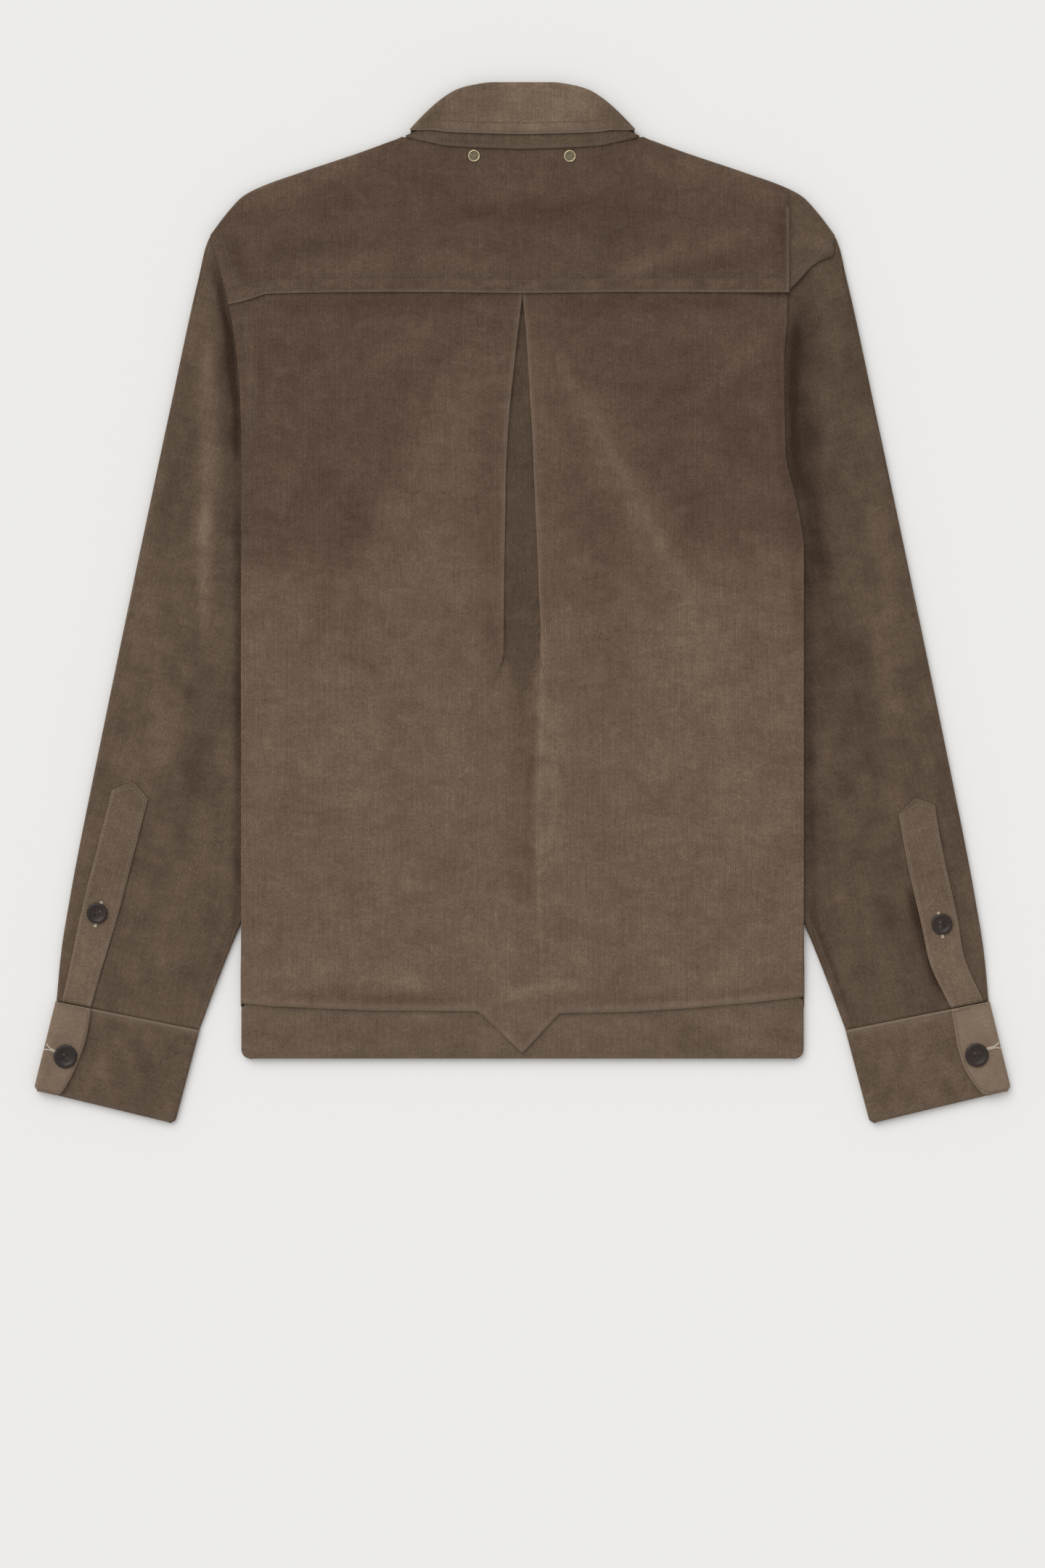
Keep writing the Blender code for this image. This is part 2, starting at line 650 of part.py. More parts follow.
def cuff_section():
    """Round the cuff from its tucked end to its lapped end: share of its width, height."""
    width = math.dist(CUFF_SEAM_OUTER, CUFF_SEAM_INNER)
    inner = (CUFF_TOP - CUFF_LOW) / 2
    outer = (CUFF_TAB - CUFF_LOW) / 2
    stop = width - CUFF_LOW - inner
    start = CUFF_LOW + outer
    turns = [math.pi * i / CUFF_TURN for i in range(1, CUFF_TURN + 1)]
    path = [(mix(CUFF_TUCK * width, stop, i / CUFF_UNDER), CUFF_TOP) for i in range(CUFF_UNDER + 1)]
    path += [(stop + inner * math.sin(t), CUFF_LOW + inner * (1 + math.cos(t))) for t in turns]
    path += [(mix(stop, start, i / CUFF_BACK), CUFF_LOW) for i in range(1, CUFF_BACK + 1)]
    path += [(start - outer * math.sin(t), CUFF_LOW + outer * (1 - math.cos(t))) for t in turns]
    path += [(mix(start, CUFF_LAP * width, i / CUFF_OVER), CUFF_TAB) for i in range(1, CUFF_OVER + 1)]
    return [(across / width, z) for across, z in path]


def cuff_point(side, column, row):
    """A cuff's point: a place round its section, carried from the seam to the end."""
    share, z = cuff_section()[column]
    along = row / CUFF_ROWS
    x = mix(mix(CUFF_SEAM_OUTER[0], CUFF_SEAM_INNER[0], share),
            mix(CUFF_END_OUTER[0], CUFF_END_INNER[0], share), along)
    y = mix(mix(CUFF_SEAM_OUTER[1], CUFF_SEAM_INNER[1], share),
            mix(CUFF_END_OUTER[1], CUFF_END_INNER[1], share), along)
    return side * x, y, z


# Collar

LEAF_COLUMNS = (-84.7, -82.2, -77.0, -71.5, -60.5, -48.0, -36.0, -22.0, -10.0, 0.0, 10.0, 22.0, 36.0,
                48.0, 60.5, 71.5, 77.0, 82.2, 84.7)
LEAF_FRONT_EDGE = ((0.0, 335.0), (48.0, 262.0), (84.7, 350.0))
LEAF_LOW = HALF
STAND_LOW = LEAF_LOW + LAYER
STAND_HIGH = BACK_HEIGHT + YOKE_REST_RISE + LAYER
LEAF_HIGH = STAND_HIGH + LAYER
LEAF_BACK = 3
LEAF_TURN = 4
LEAF_FRONT = 4
LEAF_REACH = (0.4, 0.8)
STAND_TOP = 384.0
STAND_BELOW_FOLD = 6.3
STAND_HALF_WIDTH = 88.5
STAND_UPPER = 14
STAND_LOWER = 14
STAND_TURN = 4


def leaf_point(column, row):
    """Down the collar leaf: back edge up to the fold, round it and down the front side."""
    x = LEAF_COLUMNS[column]
    edge = read(LEAF_EDGE, abs(x))
    fold = read(COLLAR_FOLD, abs(x))
    radius = (LEAF_HIGH - LEAF_LOW) / 2
    least, clear = LEAF_REACH
    reach = min(radius, max(least, fold - edge - clear))
    centre = fold - HALF - reach
    if row <= LEAF_BACK:
        return x, mix(edge, centre, row / LEAF_BACK), LEAF_HIGH
    if row <= LEAF_BACK + LEAF_TURN:
        turn = math.pi * (row - LEAF_BACK) / LEAF_TURN
        return x, centre + reach * math.sin(turn), LEAF_LOW + radius * (1 + math.cos(turn))
    along = (row - LEAF_BACK - LEAF_TURN) / LEAF_FRONT
    return x, mix(centre, read(LEAF_FRONT_EDGE, abs(x)), along), LEAF_LOW


def stand_point(column, row):
    """Round the flattened stand: back, side turn, front, side turn."""
    radius = (STAND_HIGH - STAND_LOW) / 2
    end = STAND_HALF_WIDTH - HALF - radius
    if column <= STAND_UPPER:
        x = mix(-end, end, column / STAND_UPPER)
        z = STAND_HIGH
        low = read(NECK_SEAM, abs(x))
    elif column <= STAND_UPPER + STAND_TURN:
        turn = math.pi * (column - STAND_UPPER) / STAND_TURN
        x = end + radius * math.sin(turn)
        z = STAND_LOW + radius * (1 + math.cos(turn))
        low = read(NECK_SEAM, abs(x))
    elif column <= STAND_UPPER + STAND_TURN + STAND_LOWER:
        x = mix(end, -end, (column - STAND_UPPER - STAND_TURN) / STAND_LOWER)
        z = STAND_LOW
        low = neckline(x)
    else:
        turn = math.pi * (column - STAND_UPPER - STAND_TURN - STAND_LOWER) / STAND_TURN
        x = -end - radius * math.sin(turn)
        z = STAND_LOW + radius * (1 - math.cos(turn))
        low = read(NECK_SEAM, abs(x))
    high = min(STAND_TOP, read(COLLAR_FOLD, abs(x)) - STAND_BELOW_FOLD)
    return x, mix(low, high, row / 3), z


# Assembly

def button_profile(radius):
    """A dished four-hole button's outline: the holes are too fine for the solid."""
    top = BUTTON_THICKNESS
    return ((0, top * 0.62), (radius * 0.55, top * 0.66), (radius * 0.72, top), (radius * 0.9, top),
            (radius, top * 0.6), (radius * 0.9, 0.15), (radius * 0.6, 0), (0, 0))


def build():
    cloth = material("needlecord", 0.115, 0.075, 0.052, 0.9)
    horn = material("dark horn", 0.012, 0.013, 0.018, 0.35)
    brass = material("pale brass", 0.62, 0.50, 0.30, 0.3, 1.0)
    sheet("back_panel", 2 * HALF_BACK, len(BACK_ROWS) - 1, back_point, CLOTH, cloth)
    sheet("back_yoke", YOKE_SPANS + YOKE_END_SPANS, len(YOKE_ROWS) + ROLL_STEPS, yoke_point,
          CLOTH, cloth)
    last = len(BAND_SPANS) + 2 * ROLL_STEPS - 1
    sheet("hem_band_back", last, len(BAND_ROWS) - 1, back_band_point, BAND_WALL, cloth)
    leaf_rows = LEAF_BACK + LEAF_TURN + LEAF_FRONT
    sheet("collar_leaf", len(LEAF_COLUMNS) - 1, leaf_rows, leaf_point, CLOTH, cloth)
    ring = STAND_UPPER + STAND_LOWER + 2 * STAND_TURN
    sheet("collar_stand", ring, 3, stand_point, CLOTH, cloth, closed=True)
    around = SLEEVE_UPPER + SLEEVE_LOWER + 2 * SLEEVE_TURN
    for name, side in SIDES.items():
        front_columns = len(FRONT_COLUMNS) + len(FRONT_MIDDLE) + ROLL_STEPS - 1
        sheet("front_" + name, front_columns, len(FRONT_ROWS) + ROLL_STEPS,
              lambda column, row: front_point(side, column, row), CLOTH, cloth)
        sheet("hem_band_front_" + name, ROLL_STEPS + BAND_SIDE_SPANS + len(BAND_MIDDLE), BAND_FRONT_ROWS,
              lambda column, row: front_band_point(side, column, row), BAND_WALL, cloth)
        sheet("sleeve_" + name, around, len(SLEEVE_ROWS) - 1,
              lambda column, row: sleeve_point(side, column, row), CLOTH, cloth, closed=True)
        sheet("sleeve_placket_" + name, PLACKET_COLUMNS, len(PLACKET_ROWS) - 1,
              lambda column, row: placket_point(name, column, row), CLOTH, cloth)
        sheet("cuff_" + name, len(cuff_section()) - 1, CUFF_ROWS,
              lambda column, row: cuff_point(side, column, row), CUFF_WALL, cloth)
        x, y = CUFF_BUTTON_AT[name]
        turned("cuff_button_" + name, button_profile(CUFF_BUTTON), 12,
               (x, y, CUFF_TAB + CUFF_WALL / 2 + GAP), horn)
        x, y = PLACKET_BUTTON_AT[name]
        turned("placket_button_" + name, button_profile(PLACKET_BUTTON), 12,
               (x, y, placket_height(x, y) + HALF + GAP), horn)
        x, y = EYELET_AT[name]
        ring = ((EYELET_INNER, 0), (EYELET_INNER, EYELET_THICKNESS),
                (EYELET_OUTER - EYELET_ROUND, EYELET_THICKNESS),
                (EYELET_OUTER, EYELET_THICKNESS - EYELET_ROUND), (EYELET_OUTER, 0))
        turned("eyelet_" + name, ring, 16, (x, y, yoke_height(x, y) + HALF + GAP), brass)
    for count in range(FRONT_BUTTONS):
        turned(f"front_button_{count + 1}", button_profile(FRONT_BUTTON), 12,
               (0, FRONT_BUTTON_TOP - count * FRONT_BUTTON_STEP, 0), horn)


for old in list(bpy.data.objects):
    bpy.data.objects.remove(old)
garment = bpy.data.collections.new("Overshirt")
bpy.context.scene.collection.children.link(garment)
build()
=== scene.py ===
import math

import bmesh
import bpy
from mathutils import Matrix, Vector, noise
from mathutils.bvhtree import BVHTree


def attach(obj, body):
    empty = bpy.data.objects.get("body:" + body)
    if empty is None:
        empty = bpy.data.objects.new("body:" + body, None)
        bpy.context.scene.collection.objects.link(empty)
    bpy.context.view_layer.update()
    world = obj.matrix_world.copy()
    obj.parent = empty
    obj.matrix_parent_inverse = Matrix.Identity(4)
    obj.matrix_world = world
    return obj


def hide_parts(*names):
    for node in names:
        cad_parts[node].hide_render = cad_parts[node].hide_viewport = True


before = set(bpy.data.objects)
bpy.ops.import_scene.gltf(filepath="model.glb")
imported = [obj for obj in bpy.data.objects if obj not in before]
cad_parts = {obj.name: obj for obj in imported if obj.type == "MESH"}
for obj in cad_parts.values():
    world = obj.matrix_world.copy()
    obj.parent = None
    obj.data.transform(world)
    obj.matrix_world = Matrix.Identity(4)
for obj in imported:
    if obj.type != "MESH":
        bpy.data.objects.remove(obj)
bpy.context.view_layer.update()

# Table and light
# A pale table under one soft sun lamp and a bright room, with the camera straight above,
# as for a garment laid out on a table. Only the garment belongs to the part.

MM = 0.001
CAMERA_HEIGHT = 3.2
IMAGE_HEIGHT = 2160
AXIS_ROW = 830.5  # the image row that lies straight under the camera
MM_PER_PIXEL = 0.55
SENSOR = 36


def paint(code):
    """An sRGB hex value as linear red, green, blue and alpha."""
    parts = [int(code[i:i + 2], 16) / 255 for i in (0, 2, 4)]
    return tuple(p / 12.92 if p <= 0.04045 else ((p + 0.055) / 1.055) ** 2.4 for p in parts) + (1,)


def new_material(name):
    """A material with its Principled shader, ready for nodes."""
    made = bpy.data.materials.new(name)
    made.use_nodes = True
    return made, made.node_tree.nodes["Principled BSDF"]


def add_node(tree, kind, links=(), **settings):
    """Adds a node. links are (input, socket) pairs, settings its attributes."""
    made = tree.nodes.new(kind)
    for key, value in settings.items():
        setattr(made, key, value)
    for place, value in links:
        if isinstance(value, bpy.types.NodeSocket):
            tree.links.new(value, made.inputs[place])
        else:
            made.inputs[place].default_value = value
    return made


def put_down(shape, name, rounded=True):
    """Turns a finished bmesh into an object at the origin, shaded smooth or flat."""
    for face in shape.faces:
        face.smooth = rounded
    mesh = bpy.data.meshes.new(name)
    shape.to_mesh(mesh)
    shape.free()
    piece = bpy.data.objects.new(name, mesh)
    bpy.context.scene.collection.objects.link(piece)
    return piece


sheet = bmesh.new()
bmesh.ops.create_grid(sheet, x_segments=1, y_segments=1, size=6)
bmesh.ops.translate(sheet, verts=sheet.verts, vec=(0, 0, -0.4 * MM))
table = put_down(sheet, "table", rounded=False)
# White paper, quite matt, so that the floor keeps one even tone
finish, shader = new_material("matt_white_paper")
shader.inputs["Base Color"].default_value = paint("f0efed")
shader.inputs["Roughness"].default_value = 1.0
shader.inputs["Specular IOR Level"].default_value = 0.0
table.data.materials.append(finish)

lens = bpy.data.cameras.new("camera")
lens.sensor_fit = "VERTICAL"
lens.sensor_height = SENSOR
lens.lens = SENSOR * CAMERA_HEIGHT / (IMAGE_HEIGHT * MM_PER_PIXEL * MM)
camera = bpy.data.objects.new("camera", lens)
camera.location = (0, 0, CAMERA_HEIGHT)
lens.shift_y = -(IMAGE_HEIGHT / 2 - AXIS_ROW) / IMAGE_HEIGHT
bpy.context.scene.collection.objects.link(camera)
bpy.context.scene.camera = camera

light = bpy.data.lights.new("soft_lamp", "SUN")
light.energy = 1.35
light.angle = math.radians(50)
lamp = bpy.data.objects.new("soft_lamp", light)
lamp.rotation_euler = Vector((0.45, -0.75, -1.0)).to_track_quat("-Z", "Y").to_euler()
bpy.context.scene.collection.objects.link(lamp)
room = bpy.data.worlds.new("pale_room")
room.use_nodes = True
room.node_tree.nodes["Background"].inputs["Color"].default_value = (1, 1, 1, 1)
room.node_tree.nodes["Background"].inputs["Strength"].default_value = 0.64
bpy.context.scene.world = room
bpy.context.scene.view_settings.view_transform = "Standard"

# Needlecord
# Cotton corduroy of about nineteen fine wales to the inch, dyed taupe and washed: a dull cut pile
# whose nap catches the light in soft patches, paler on the raised edges of seams from wear and a
# painted highlight. Painted shade darkens the grooves between the wales, and the tone of each
# piece also carries painted shade and highlight.

WALE = 1.35  # mm from groove to groove, judged from the photo at its scale


def corduroy(name, deep, warm_deep, lit, rubbed_and_highlit):
    """Needlecord that reads the cut's own millimetres from the piece's UV map."""
    made, shader = new_material(name)
    tree = made.node_tree

    def math_node(operation, *values):
        return add_node(tree, "ShaderNodeMath", enumerate(values), operation=operation).outputs[0]

    def vary(source, amount):
        """A noise turned into a factor about 1."""
        return math_node("MULTIPLY_ADD", source, amount, 1 - amount / 2)

    def cloud(place, scale, detail, rough=0.5, twist=0.0):
        return add_node(tree, "ShaderNodeTexNoise", [
            ("Vector", place), ("Scale", scale), ("Detail", detail), ("Roughness", rough),
            ("Distortion", twist)]).outputs["Fac"]

    def blend(share, low, high, **settings):
        return add_node(tree, "ShaderNodeMix", [(0, share), (6, low), (7, high)], data_type="RGBA",
                        **settings).outputs[2]

    cut = add_node(tree, "ShaderNodeUVMap", uv_map="Cut").outputs[0]
    split = add_node(tree, "ShaderNodeSeparateXYZ", [(0, cut)])
    along = split.outputs[1]
    across = math_node("MULTIPLY_ADD", cloud(cut, 0.06, 2.0), 1.6, split.outputs[0])
    count = math_node("MULTIPLY", across, 1 / WALE)
    number = math_node("FLOOR", count)
    ridge = math_node("ABSOLUTE", math_node("SINE", math_node("MULTIPLY", count, math.pi)))
    # each wale keeps a shade of its own along its length, broken into short tufts
    own = add_node(tree, "ShaderNodeCombineXYZ", [
        (0, math_node("MULTIPLY", number, 0.83)), (1, math_node("MULTIPLY", along, 0.035))]).outputs[0]
    tuft = add_node(tree, "ShaderNodeCombineXYZ", [
        (0, math_node("MULTIPLY", number, 5.3)), (1, math_node("MULTIPLY", along, 0.55))]).outputs[0]
    streaks, tufts = cloud(own, 1.0, 2.0, 0.6), cloud(tuft, 1.0, 3.0, 0.75)
    wisp_map = add_node(tree, "ShaderNodeMapping", [("Vector", cut), ("Rotation", (0, 0, 0.3)),
                                                    ("Scale", (0.05, 0.085, 1))]).outputs[0]
    wisps = cloud(wisp_map, 1.0, 5.0, 0.62, 0.9)
    patches = cloud(cut, 0.022, 3.0, 0.55, 0.4)
    # how deep the grooves look drifts over some 17 mm, as where the pile is crushed or brushed up
    depth_map = add_node(tree, "ShaderNodeMapping", [("Vector", cut),
                                                     ("Location", (400, 90, 7))]).outputs[0]
    depth = math_node("MULTIPLY_ADD", cloud(depth_map, 0.06, 4.0), 1.4, -0.42)
    # the grooves between the wales are darkened in colour: painted shade in the grooves
    grooves = math_node("MULTIPLY_ADD", math_node("SUBTRACT", ridge, 0.62), depth, 1.0)
    # the per-piece tone: the cloth's nap together with painted shade and painted highlight
    nap_and_shade = add_node(tree, "ShaderNodeAttribute", attribute_name="nap_and_shade").outputs["Fac"]
    shade = nap_and_shade
    for factor in (vary(streaks, 0.45), vary(tufts, 1.25), vary(wisps, 0.7), vary(patches, 0.4),
                   grooves):
        shade = math_node("MULTIPLY", shade, factor)
    # warmth picks the warm dark for the back and yoke; the cooler dark, matched to cloth in shade,
    # serves the pleat's painted shade and the other pieces
    warmth = add_node(tree, "ShaderNodeAttribute", attribute_name="warmth").outputs["Fac"]
    dark = blend(warmth, paint(deep), paint(warm_deep))
    toned = blend(math_node("SUBTRACT", shade, 0.3), dark, paint(lit), clamp_factor=False)
    # paler colour on edges and seam ridges: wear together with a painted highlight
    edge = add_node(tree, "ShaderNodeAttribute", attribute_name="wear_and_highlight").outputs["Fac"]
    tree.links.new(blend(edge, toned, paint(rubbed_and_highlit)), shader.inputs["Base Color"])
    pile_height = math_node("MULTIPLY_ADD", tufts, 0.35, ridge)
    bump = add_node(tree, "ShaderNodeBump", [("Height", pile_height), ("Strength", 0.5),
                                             ("Distance", 0.4 * MM)])
    tree.links.new(bump.outputs[0], shader.inputs["Normal"])
    shader.inputs["Roughness"].default_value = 0.93
    shader.inputs["IOR"].default_value = 1.45
    shader.inputs["Specular IOR Level"].default_value = 0.25
    shader.inputs["Sheen Weight"].default_value = 0.22
    shader.inputs["Sheen Roughness"].default_value = 0.45
    shader.inputs["Sheen Tint"].default_value = paint("c9b49c")
    return made


# cool and warm darks, the lit tone, and the pale tone for wear and painted highlight on edges
needlecord = corduroy("taupe_needlecord", "3c2d22", "3c281e", "7a6756", "8f7c6b")


def smooth(t):
    """Ease from 0 to 1."""
    t = min(1.0, max(0.0, t))
    return t * t * (3 - 2 * t)


def mix(a, b, share):
    """The value a share of the way from a to b."""
    return a + (b - a) * share


def drift(x, y, across, along, seed):
    """A slow wander of about that size in mm across and along, between -1 and 1."""
    return noise.noise(Vector((x / across, y / along, seed)))


def read(table, at, column=1):
    """Value of a column of a table at a place in its first column, on straight lines."""
    if at <= table[0][0]:
        return table[0][column]
    for low, high in zip(table, table[1:]):
        if at <= high[0]:
            share = (at - low[0]) / (high[0] - low[0])
            return low[column] + (high[column] - low[column]) * share
    return table[-1][column]


def eased(table, at, column=1):
    """The same on a smooth curve that never swings past its points."""
    if at <= table[0][0]:
        return table[0][column]
    if at >= table[-1][0]:
        return table[-1][column]
    spot = next(i for i in range(1, len(table)) if at <= table[i][0])
    rows = table[max(0, spot - 2):spot + 2]
    steps = [high[0] - low[0] for low, high in zip(rows, rows[1:])]
    slopes = [(high[column] - low[column]) / step
              for low, high, step in zip(rows, rows[1:], steps)]
    here = spot - max(0, spot - 2) - 1

    def bend(i):
        if i < 0 or i + 1 >= len(slopes) or slopes[i] * slopes[i + 1] <= 0:
            return slopes[min(max(i, 0), len(slopes) - 1)] if i < 0 or i + 1 >= len(slopes) else 0.0
        first, second = 2 * steps[i + 1] + steps[i], steps[i + 1] + 2 * steps[i]
        return (first + second) / (first / slopes[i] + second / slopes[i + 1])

    start, end, step = bend(here - 1), bend(here), steps[here]
    t = (at - rows[here][0]) / step
    return (rows[here][column] * (1 + 2 * t) * (1 - t) ** 2 + start * step * t * (1 - t) ** 2
            + rows[here + 1][column] * t * t * (3 - 2 * t) + end * step * t * t * (t - 1))


def fine(places, step):
    """A row of places with more put between, no further apart than step."""
    out = [places[0]]
    for low, high in zip(places, places[1:]):
        count = max(1, math.ceil(abs(high - low) / step - 0.001))
        out += [low + (high - low) * i / count for i in range(1, count + 1)]
    return out


def strokes(marks, x, y):
    """Sum of soft strokes at a point. Each is (strength, width, path), fading to its ends."""
    total = 0.0
    for strength, width, path in marks:
        reach = 2.4 * width
        if not (min(p[0] for p in path) - reach < x < max(p[0] for p in path) + reach
                and min(p[1] for p in path) - reach < y < max(p[1] for p in path) + reach):
            continue
        lengths = [math.dist(a, b) for a, b in zip(path, path[1:])]
        gone, best, place = 0.0, 1e9, 0.0
        for (ax, ay), (bx, by), length in zip(path, path[1:], lengths):
            t = min(1.0, max(0.0, ((x - ax) * (bx - ax) + (y - ay) * (by - ay)) / length ** 2))
            away = math.hypot(x - ax - t * (bx - ax), y - ay - t * (by - ay))
            if away < best:
                best, place = away, (gone + t * length) / sum(lengths)
            gone += length
        faded = smooth(place / 0.22) * smooth((1 - place) / 0.22)
        total += strength * math.exp(-(best / width) ** 2) * faded
    return total


def cloth(name, columns, rows, place, cut, wall, closed=False, nap_and_shade=None, wear_and_highlight=None, warmth=None):
    """A wall of cloth: place(i, j) is its middle in mm, cut(i, j, x, y) that spot on the cut."""
    grid = bmesh.new()
    bmesh.ops.create_grid(grid, x_segments=columns, y_segments=rows, size=1)
    uv = grid.loops.layers.uv.new("Cut")
    nap_and_shade_layer = grid.verts.layers.float.new("nap_and_shade")
    rubbed_and_highlit = grid.verts.layers.float.new("wear_and_highlight")
    warmed = grid.verts.layers.float.new("warmth")
    spots = {}
    for vert in grid.verts:
        i = round((vert.co.x + 1) / 2 * columns)
        j = round((vert.co.y + 1) / 2 * rows)
        x, y, z = place(i, j)
        spots[vert] = cut(i, j, x, y)
        vert[nap_and_shade_layer] = nap_and_shade(x, y) if nap_and_shade else 1.0
        vert[rubbed_and_highlit] = wear_and_highlight(i, j, x, y) if wear_and_highlight else 0.0
        vert[warmed] = warmth(x, y) if warmth else 0.0
        vert.co = (x * MM, y * MM, z * MM)
    for face in grid.faces:
        for loop in face.loops:
            loop[uv].uv = spots[loop.vert]
    if closed:
        bmesh.ops.remove_doubles(grid, verts=grid.verts, dist=0.00001)
        bmesh.ops.recalc_face_normals(grid, faces=grid.faces)
    piece = put_down(grid, name)
    thick = piece.modifiers.new("Wall", "SOLIDIFY")
    thick.thickness = wall * MM
    thick.offset = 0
    return piece


def dress(piece, finish, name, *nodes):
    """Gives a piece its finish, hangs it under the root, and hides the solids that it stands for; the
    slot name it is given is not used.
    """
    piece.data.materials.append(finish)
    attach(piece, "root")
    if nodes:
        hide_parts(*nodes)


# Back panel
# One wide piece of needlecord from the yoke to the hem band, its sides carried round to meet the
# fronts. An inverted pleat is pressed in the middle, caught in the yoke seam and open below it.

BACK_WALL = 1.1
HALF = BACK_WALL / 2
BODY_HALF_WIDTH = 213.4
BACK_HEIGHT = 5.0
UNDERARM = 45.0
YOKE_LAP = 8.0
EDGE_CLEAR = 0.58
ROLL_STEPS = 4
SIDE_SPANS = 64
FOLD_STEPS = 6
RETURN_STEPS = 3
UNDERLAY_STEPS = 6
PLEAT_STEPS = 2 * FOLD_STEPS + RETURN_STEPS + UNDERLAY_STEPS
HALF_BACK = ROLL_STEPS + SIDE_SPANS + PLEAT_STEPS
PLEAT_PITCH = 1.5
PLEAT_DEPTH = 30.0
PLEAT_END = -35.0
PLEAT_UNROLL = 50.0
PLEAT_FLAT = {-1: 33.3, 1: 28.0}
# The pleat's two pressed edges: y, distance from the middle
FOLD_EDGES = {-1: ((-90.0, 14.6), (-31.0, 14.5), (31.0, 14.0), (73.4, 13.3), (101.0, 12.7),
                   (138.0, 10.8), (175.0, 7.1), (204.0, 3.9), (233.0, 0.4)),
              1: ((-90.0, 13.2), (-59.0, 13.5), (-22.0, 14.0), (10.0, 12.7), (46.0, 11.3),
                  (95.0, 9.1), (124.0, 8.0), (158.0, 5.9), (200.0, 3.4), (233.0, 0.4))}
BACK_ROWS = fine((0, 0.012, 0.05, 0.96, 0.985, 1), 0.0062)

YOKE_SEAM = ((-222.8, 225.8), (-216.7, 226.9), (-203.0, 230.7), (-193.0, 233.8), (-88.0, 235.1),
             (0.0, 234.0), (88.0, 235.1), (201.3, 234.8), (240.0, 234.8))
HEM_SEAM = ((-213.4, -302.8), (-190.0, -305.0), (-117.0, -308.3), (-33.3, -309.0), (0.0, -340.7),
            (28.0, -310.5), (80.0, -309.5), (128.0, -306.4), (176.0, -302.2), (213.4, -297.6))
LEFT_EDGE = ((-345.0, -213.4), (120.0, -213.4), (155.0, -214.2), (181.0, -216.0),
             (226.0, -222.8), (258.0, -230.7), (278.0, -236.2), (360.0, -236.2))
RIGHT_EDGE = ((-345.0, 213.4), (40.0, 213.4), (75.0, 208.0), (115.0, 199.5), (186.0, 198.6),
              (214.0, 200.6), (300.0, 201.3))
# The sleeve's two edges as it lies: share of its length, outer x, y, inner x, y
SLEEVE_EDGES = ((0.00, 203.0, 298.0, 185.0, 45.0), (0.05, 236.6, 277.0, 178.0, 25.0),
                (0.10, 245.0, 246.0, 166.0, 8.0), (0.25, 265.9, 150.0, 152.0, -60.0),
                (0.45, 291.6, 29.0, 158.0, -120.0), (0.65, 317.4, -95.0, 184.0, -180.0),
                (0.85, 342.5, -222.0, 214.0, -244.5), (0.95, 349.8, -268.0, 233.0, -292.0),
                (1.00, 353.0, -301.2, 244.7, -323.2))
SLEEVE_UNDER_BODY = tuple(sorted((row[4], row[3]) for row in SLEEVE_EDGES))


def over_sleeve(x, y):
    """How fully the body lies on the sleeve: 0 beside it, 1 on it."""
    across = smooth((abs(x) - read(SLEEVE_UNDER_BODY, min(y, UNDERARM)) + 54) / 28)
    return across * smooth((UNDERARM + 85 - y) / 60) * smooth((y + 304) / 70)


def front_low(x, y):
    """Lower face of the fronts: raised over the sleeves, the collar's points and the buttons."""
    collar = 1.4 * smooth((y - 236) / 18) * smooth((106 - abs(x)) / 18)
    channel = 2.2 * smooth((y + 292) / 28) * smooth((258 - y) / 20) * smooth((21 - abs(x)) / 9)
    return 4.1 * over_sleeve(x, y) + collar + channel


def pleated(y):
    """1 beside the pleat, 0 below its foot."""
    return smooth((y - PLEAT_END + 42) / 40)


def back_height(x, y):
    """Middle of the back's wall before its creases."""
    pleat = 4.0 * smooth((95 - abs(x)) / 70) * pleated(y) * smooth((345 - y) / 90)
    below = 1.1 * smooth((60 - abs(x)) / 35) * (1 - pleated(y))
    hem = 1.4 * smooth((-250 - y) / 45)
    return BACK_HEIGHT + 1.7 * over_sleeve(x, y) + max(pleat, below, hem)


# Creases and swells of the back: height, width, path
BACK_CREASES = (
    (-0.9, 7, ((-36, 214), (-62, 170), (-92, 118), (-118, 60))),
    (0.8, 9, ((-22, 196), (-46, 140), (-70, 84), (-96, 20))),
    (-0.6, 6, ((-20, 150), (-34, 90), (-44, 30))),
    (0.7, 10, ((38, 206), (70, 130), (104, 56), (140, -24))),
    (-0.8, 8, ((18, 190), (44, 110), (66, 40), (84, -30))),
    (-0.6, 7, ((96, 214), (120, 160), (152, 96), (176, 40))),
    (-0.7, 6, ((-206, 160), (-188, 166), (-168, 158))),
    (0.6, 6, ((-208, 150), (-190, 152), (-172, 142))),
    (-0.6, 7, ((-200, 96), (-176, 84), (-150, 88))),
    (-0.6, 6, ((196, 186), (180, 180), (160, 184))),
    (0.5, 7, ((196, 150), (176, 138), (150, 130))),
    (-0.7, 4, ((-26, -33), (-14, -32), (-2, -33))),
    (-0.8, 5, ((13, -59), (14, -120), (15.5, -190), (17, -280))),
    (0.6, 7, ((24, -60), (26, -150), (28, -270))),
    (-0.4, 9, ((-150, -60), (-120, -110), (-112, -170))),
    (0.5, 12, ((-90, -120), (-60, -180), (-52, -250))),
    (-0.4, 8, ((70, -90), (92, -150), (98, -214))),
    (0.4, 12, ((150, -60), (162, -140), (158, -220))),
    (0.5, 8, ((-16, -284), (0, -300), (18, -286))),
    (-0.4, 5, ((-196, -284), (-150, -291), (-104, -294))),
    (-0.4, 5, ((88, -294), (140, -291), (196, -281))),
)
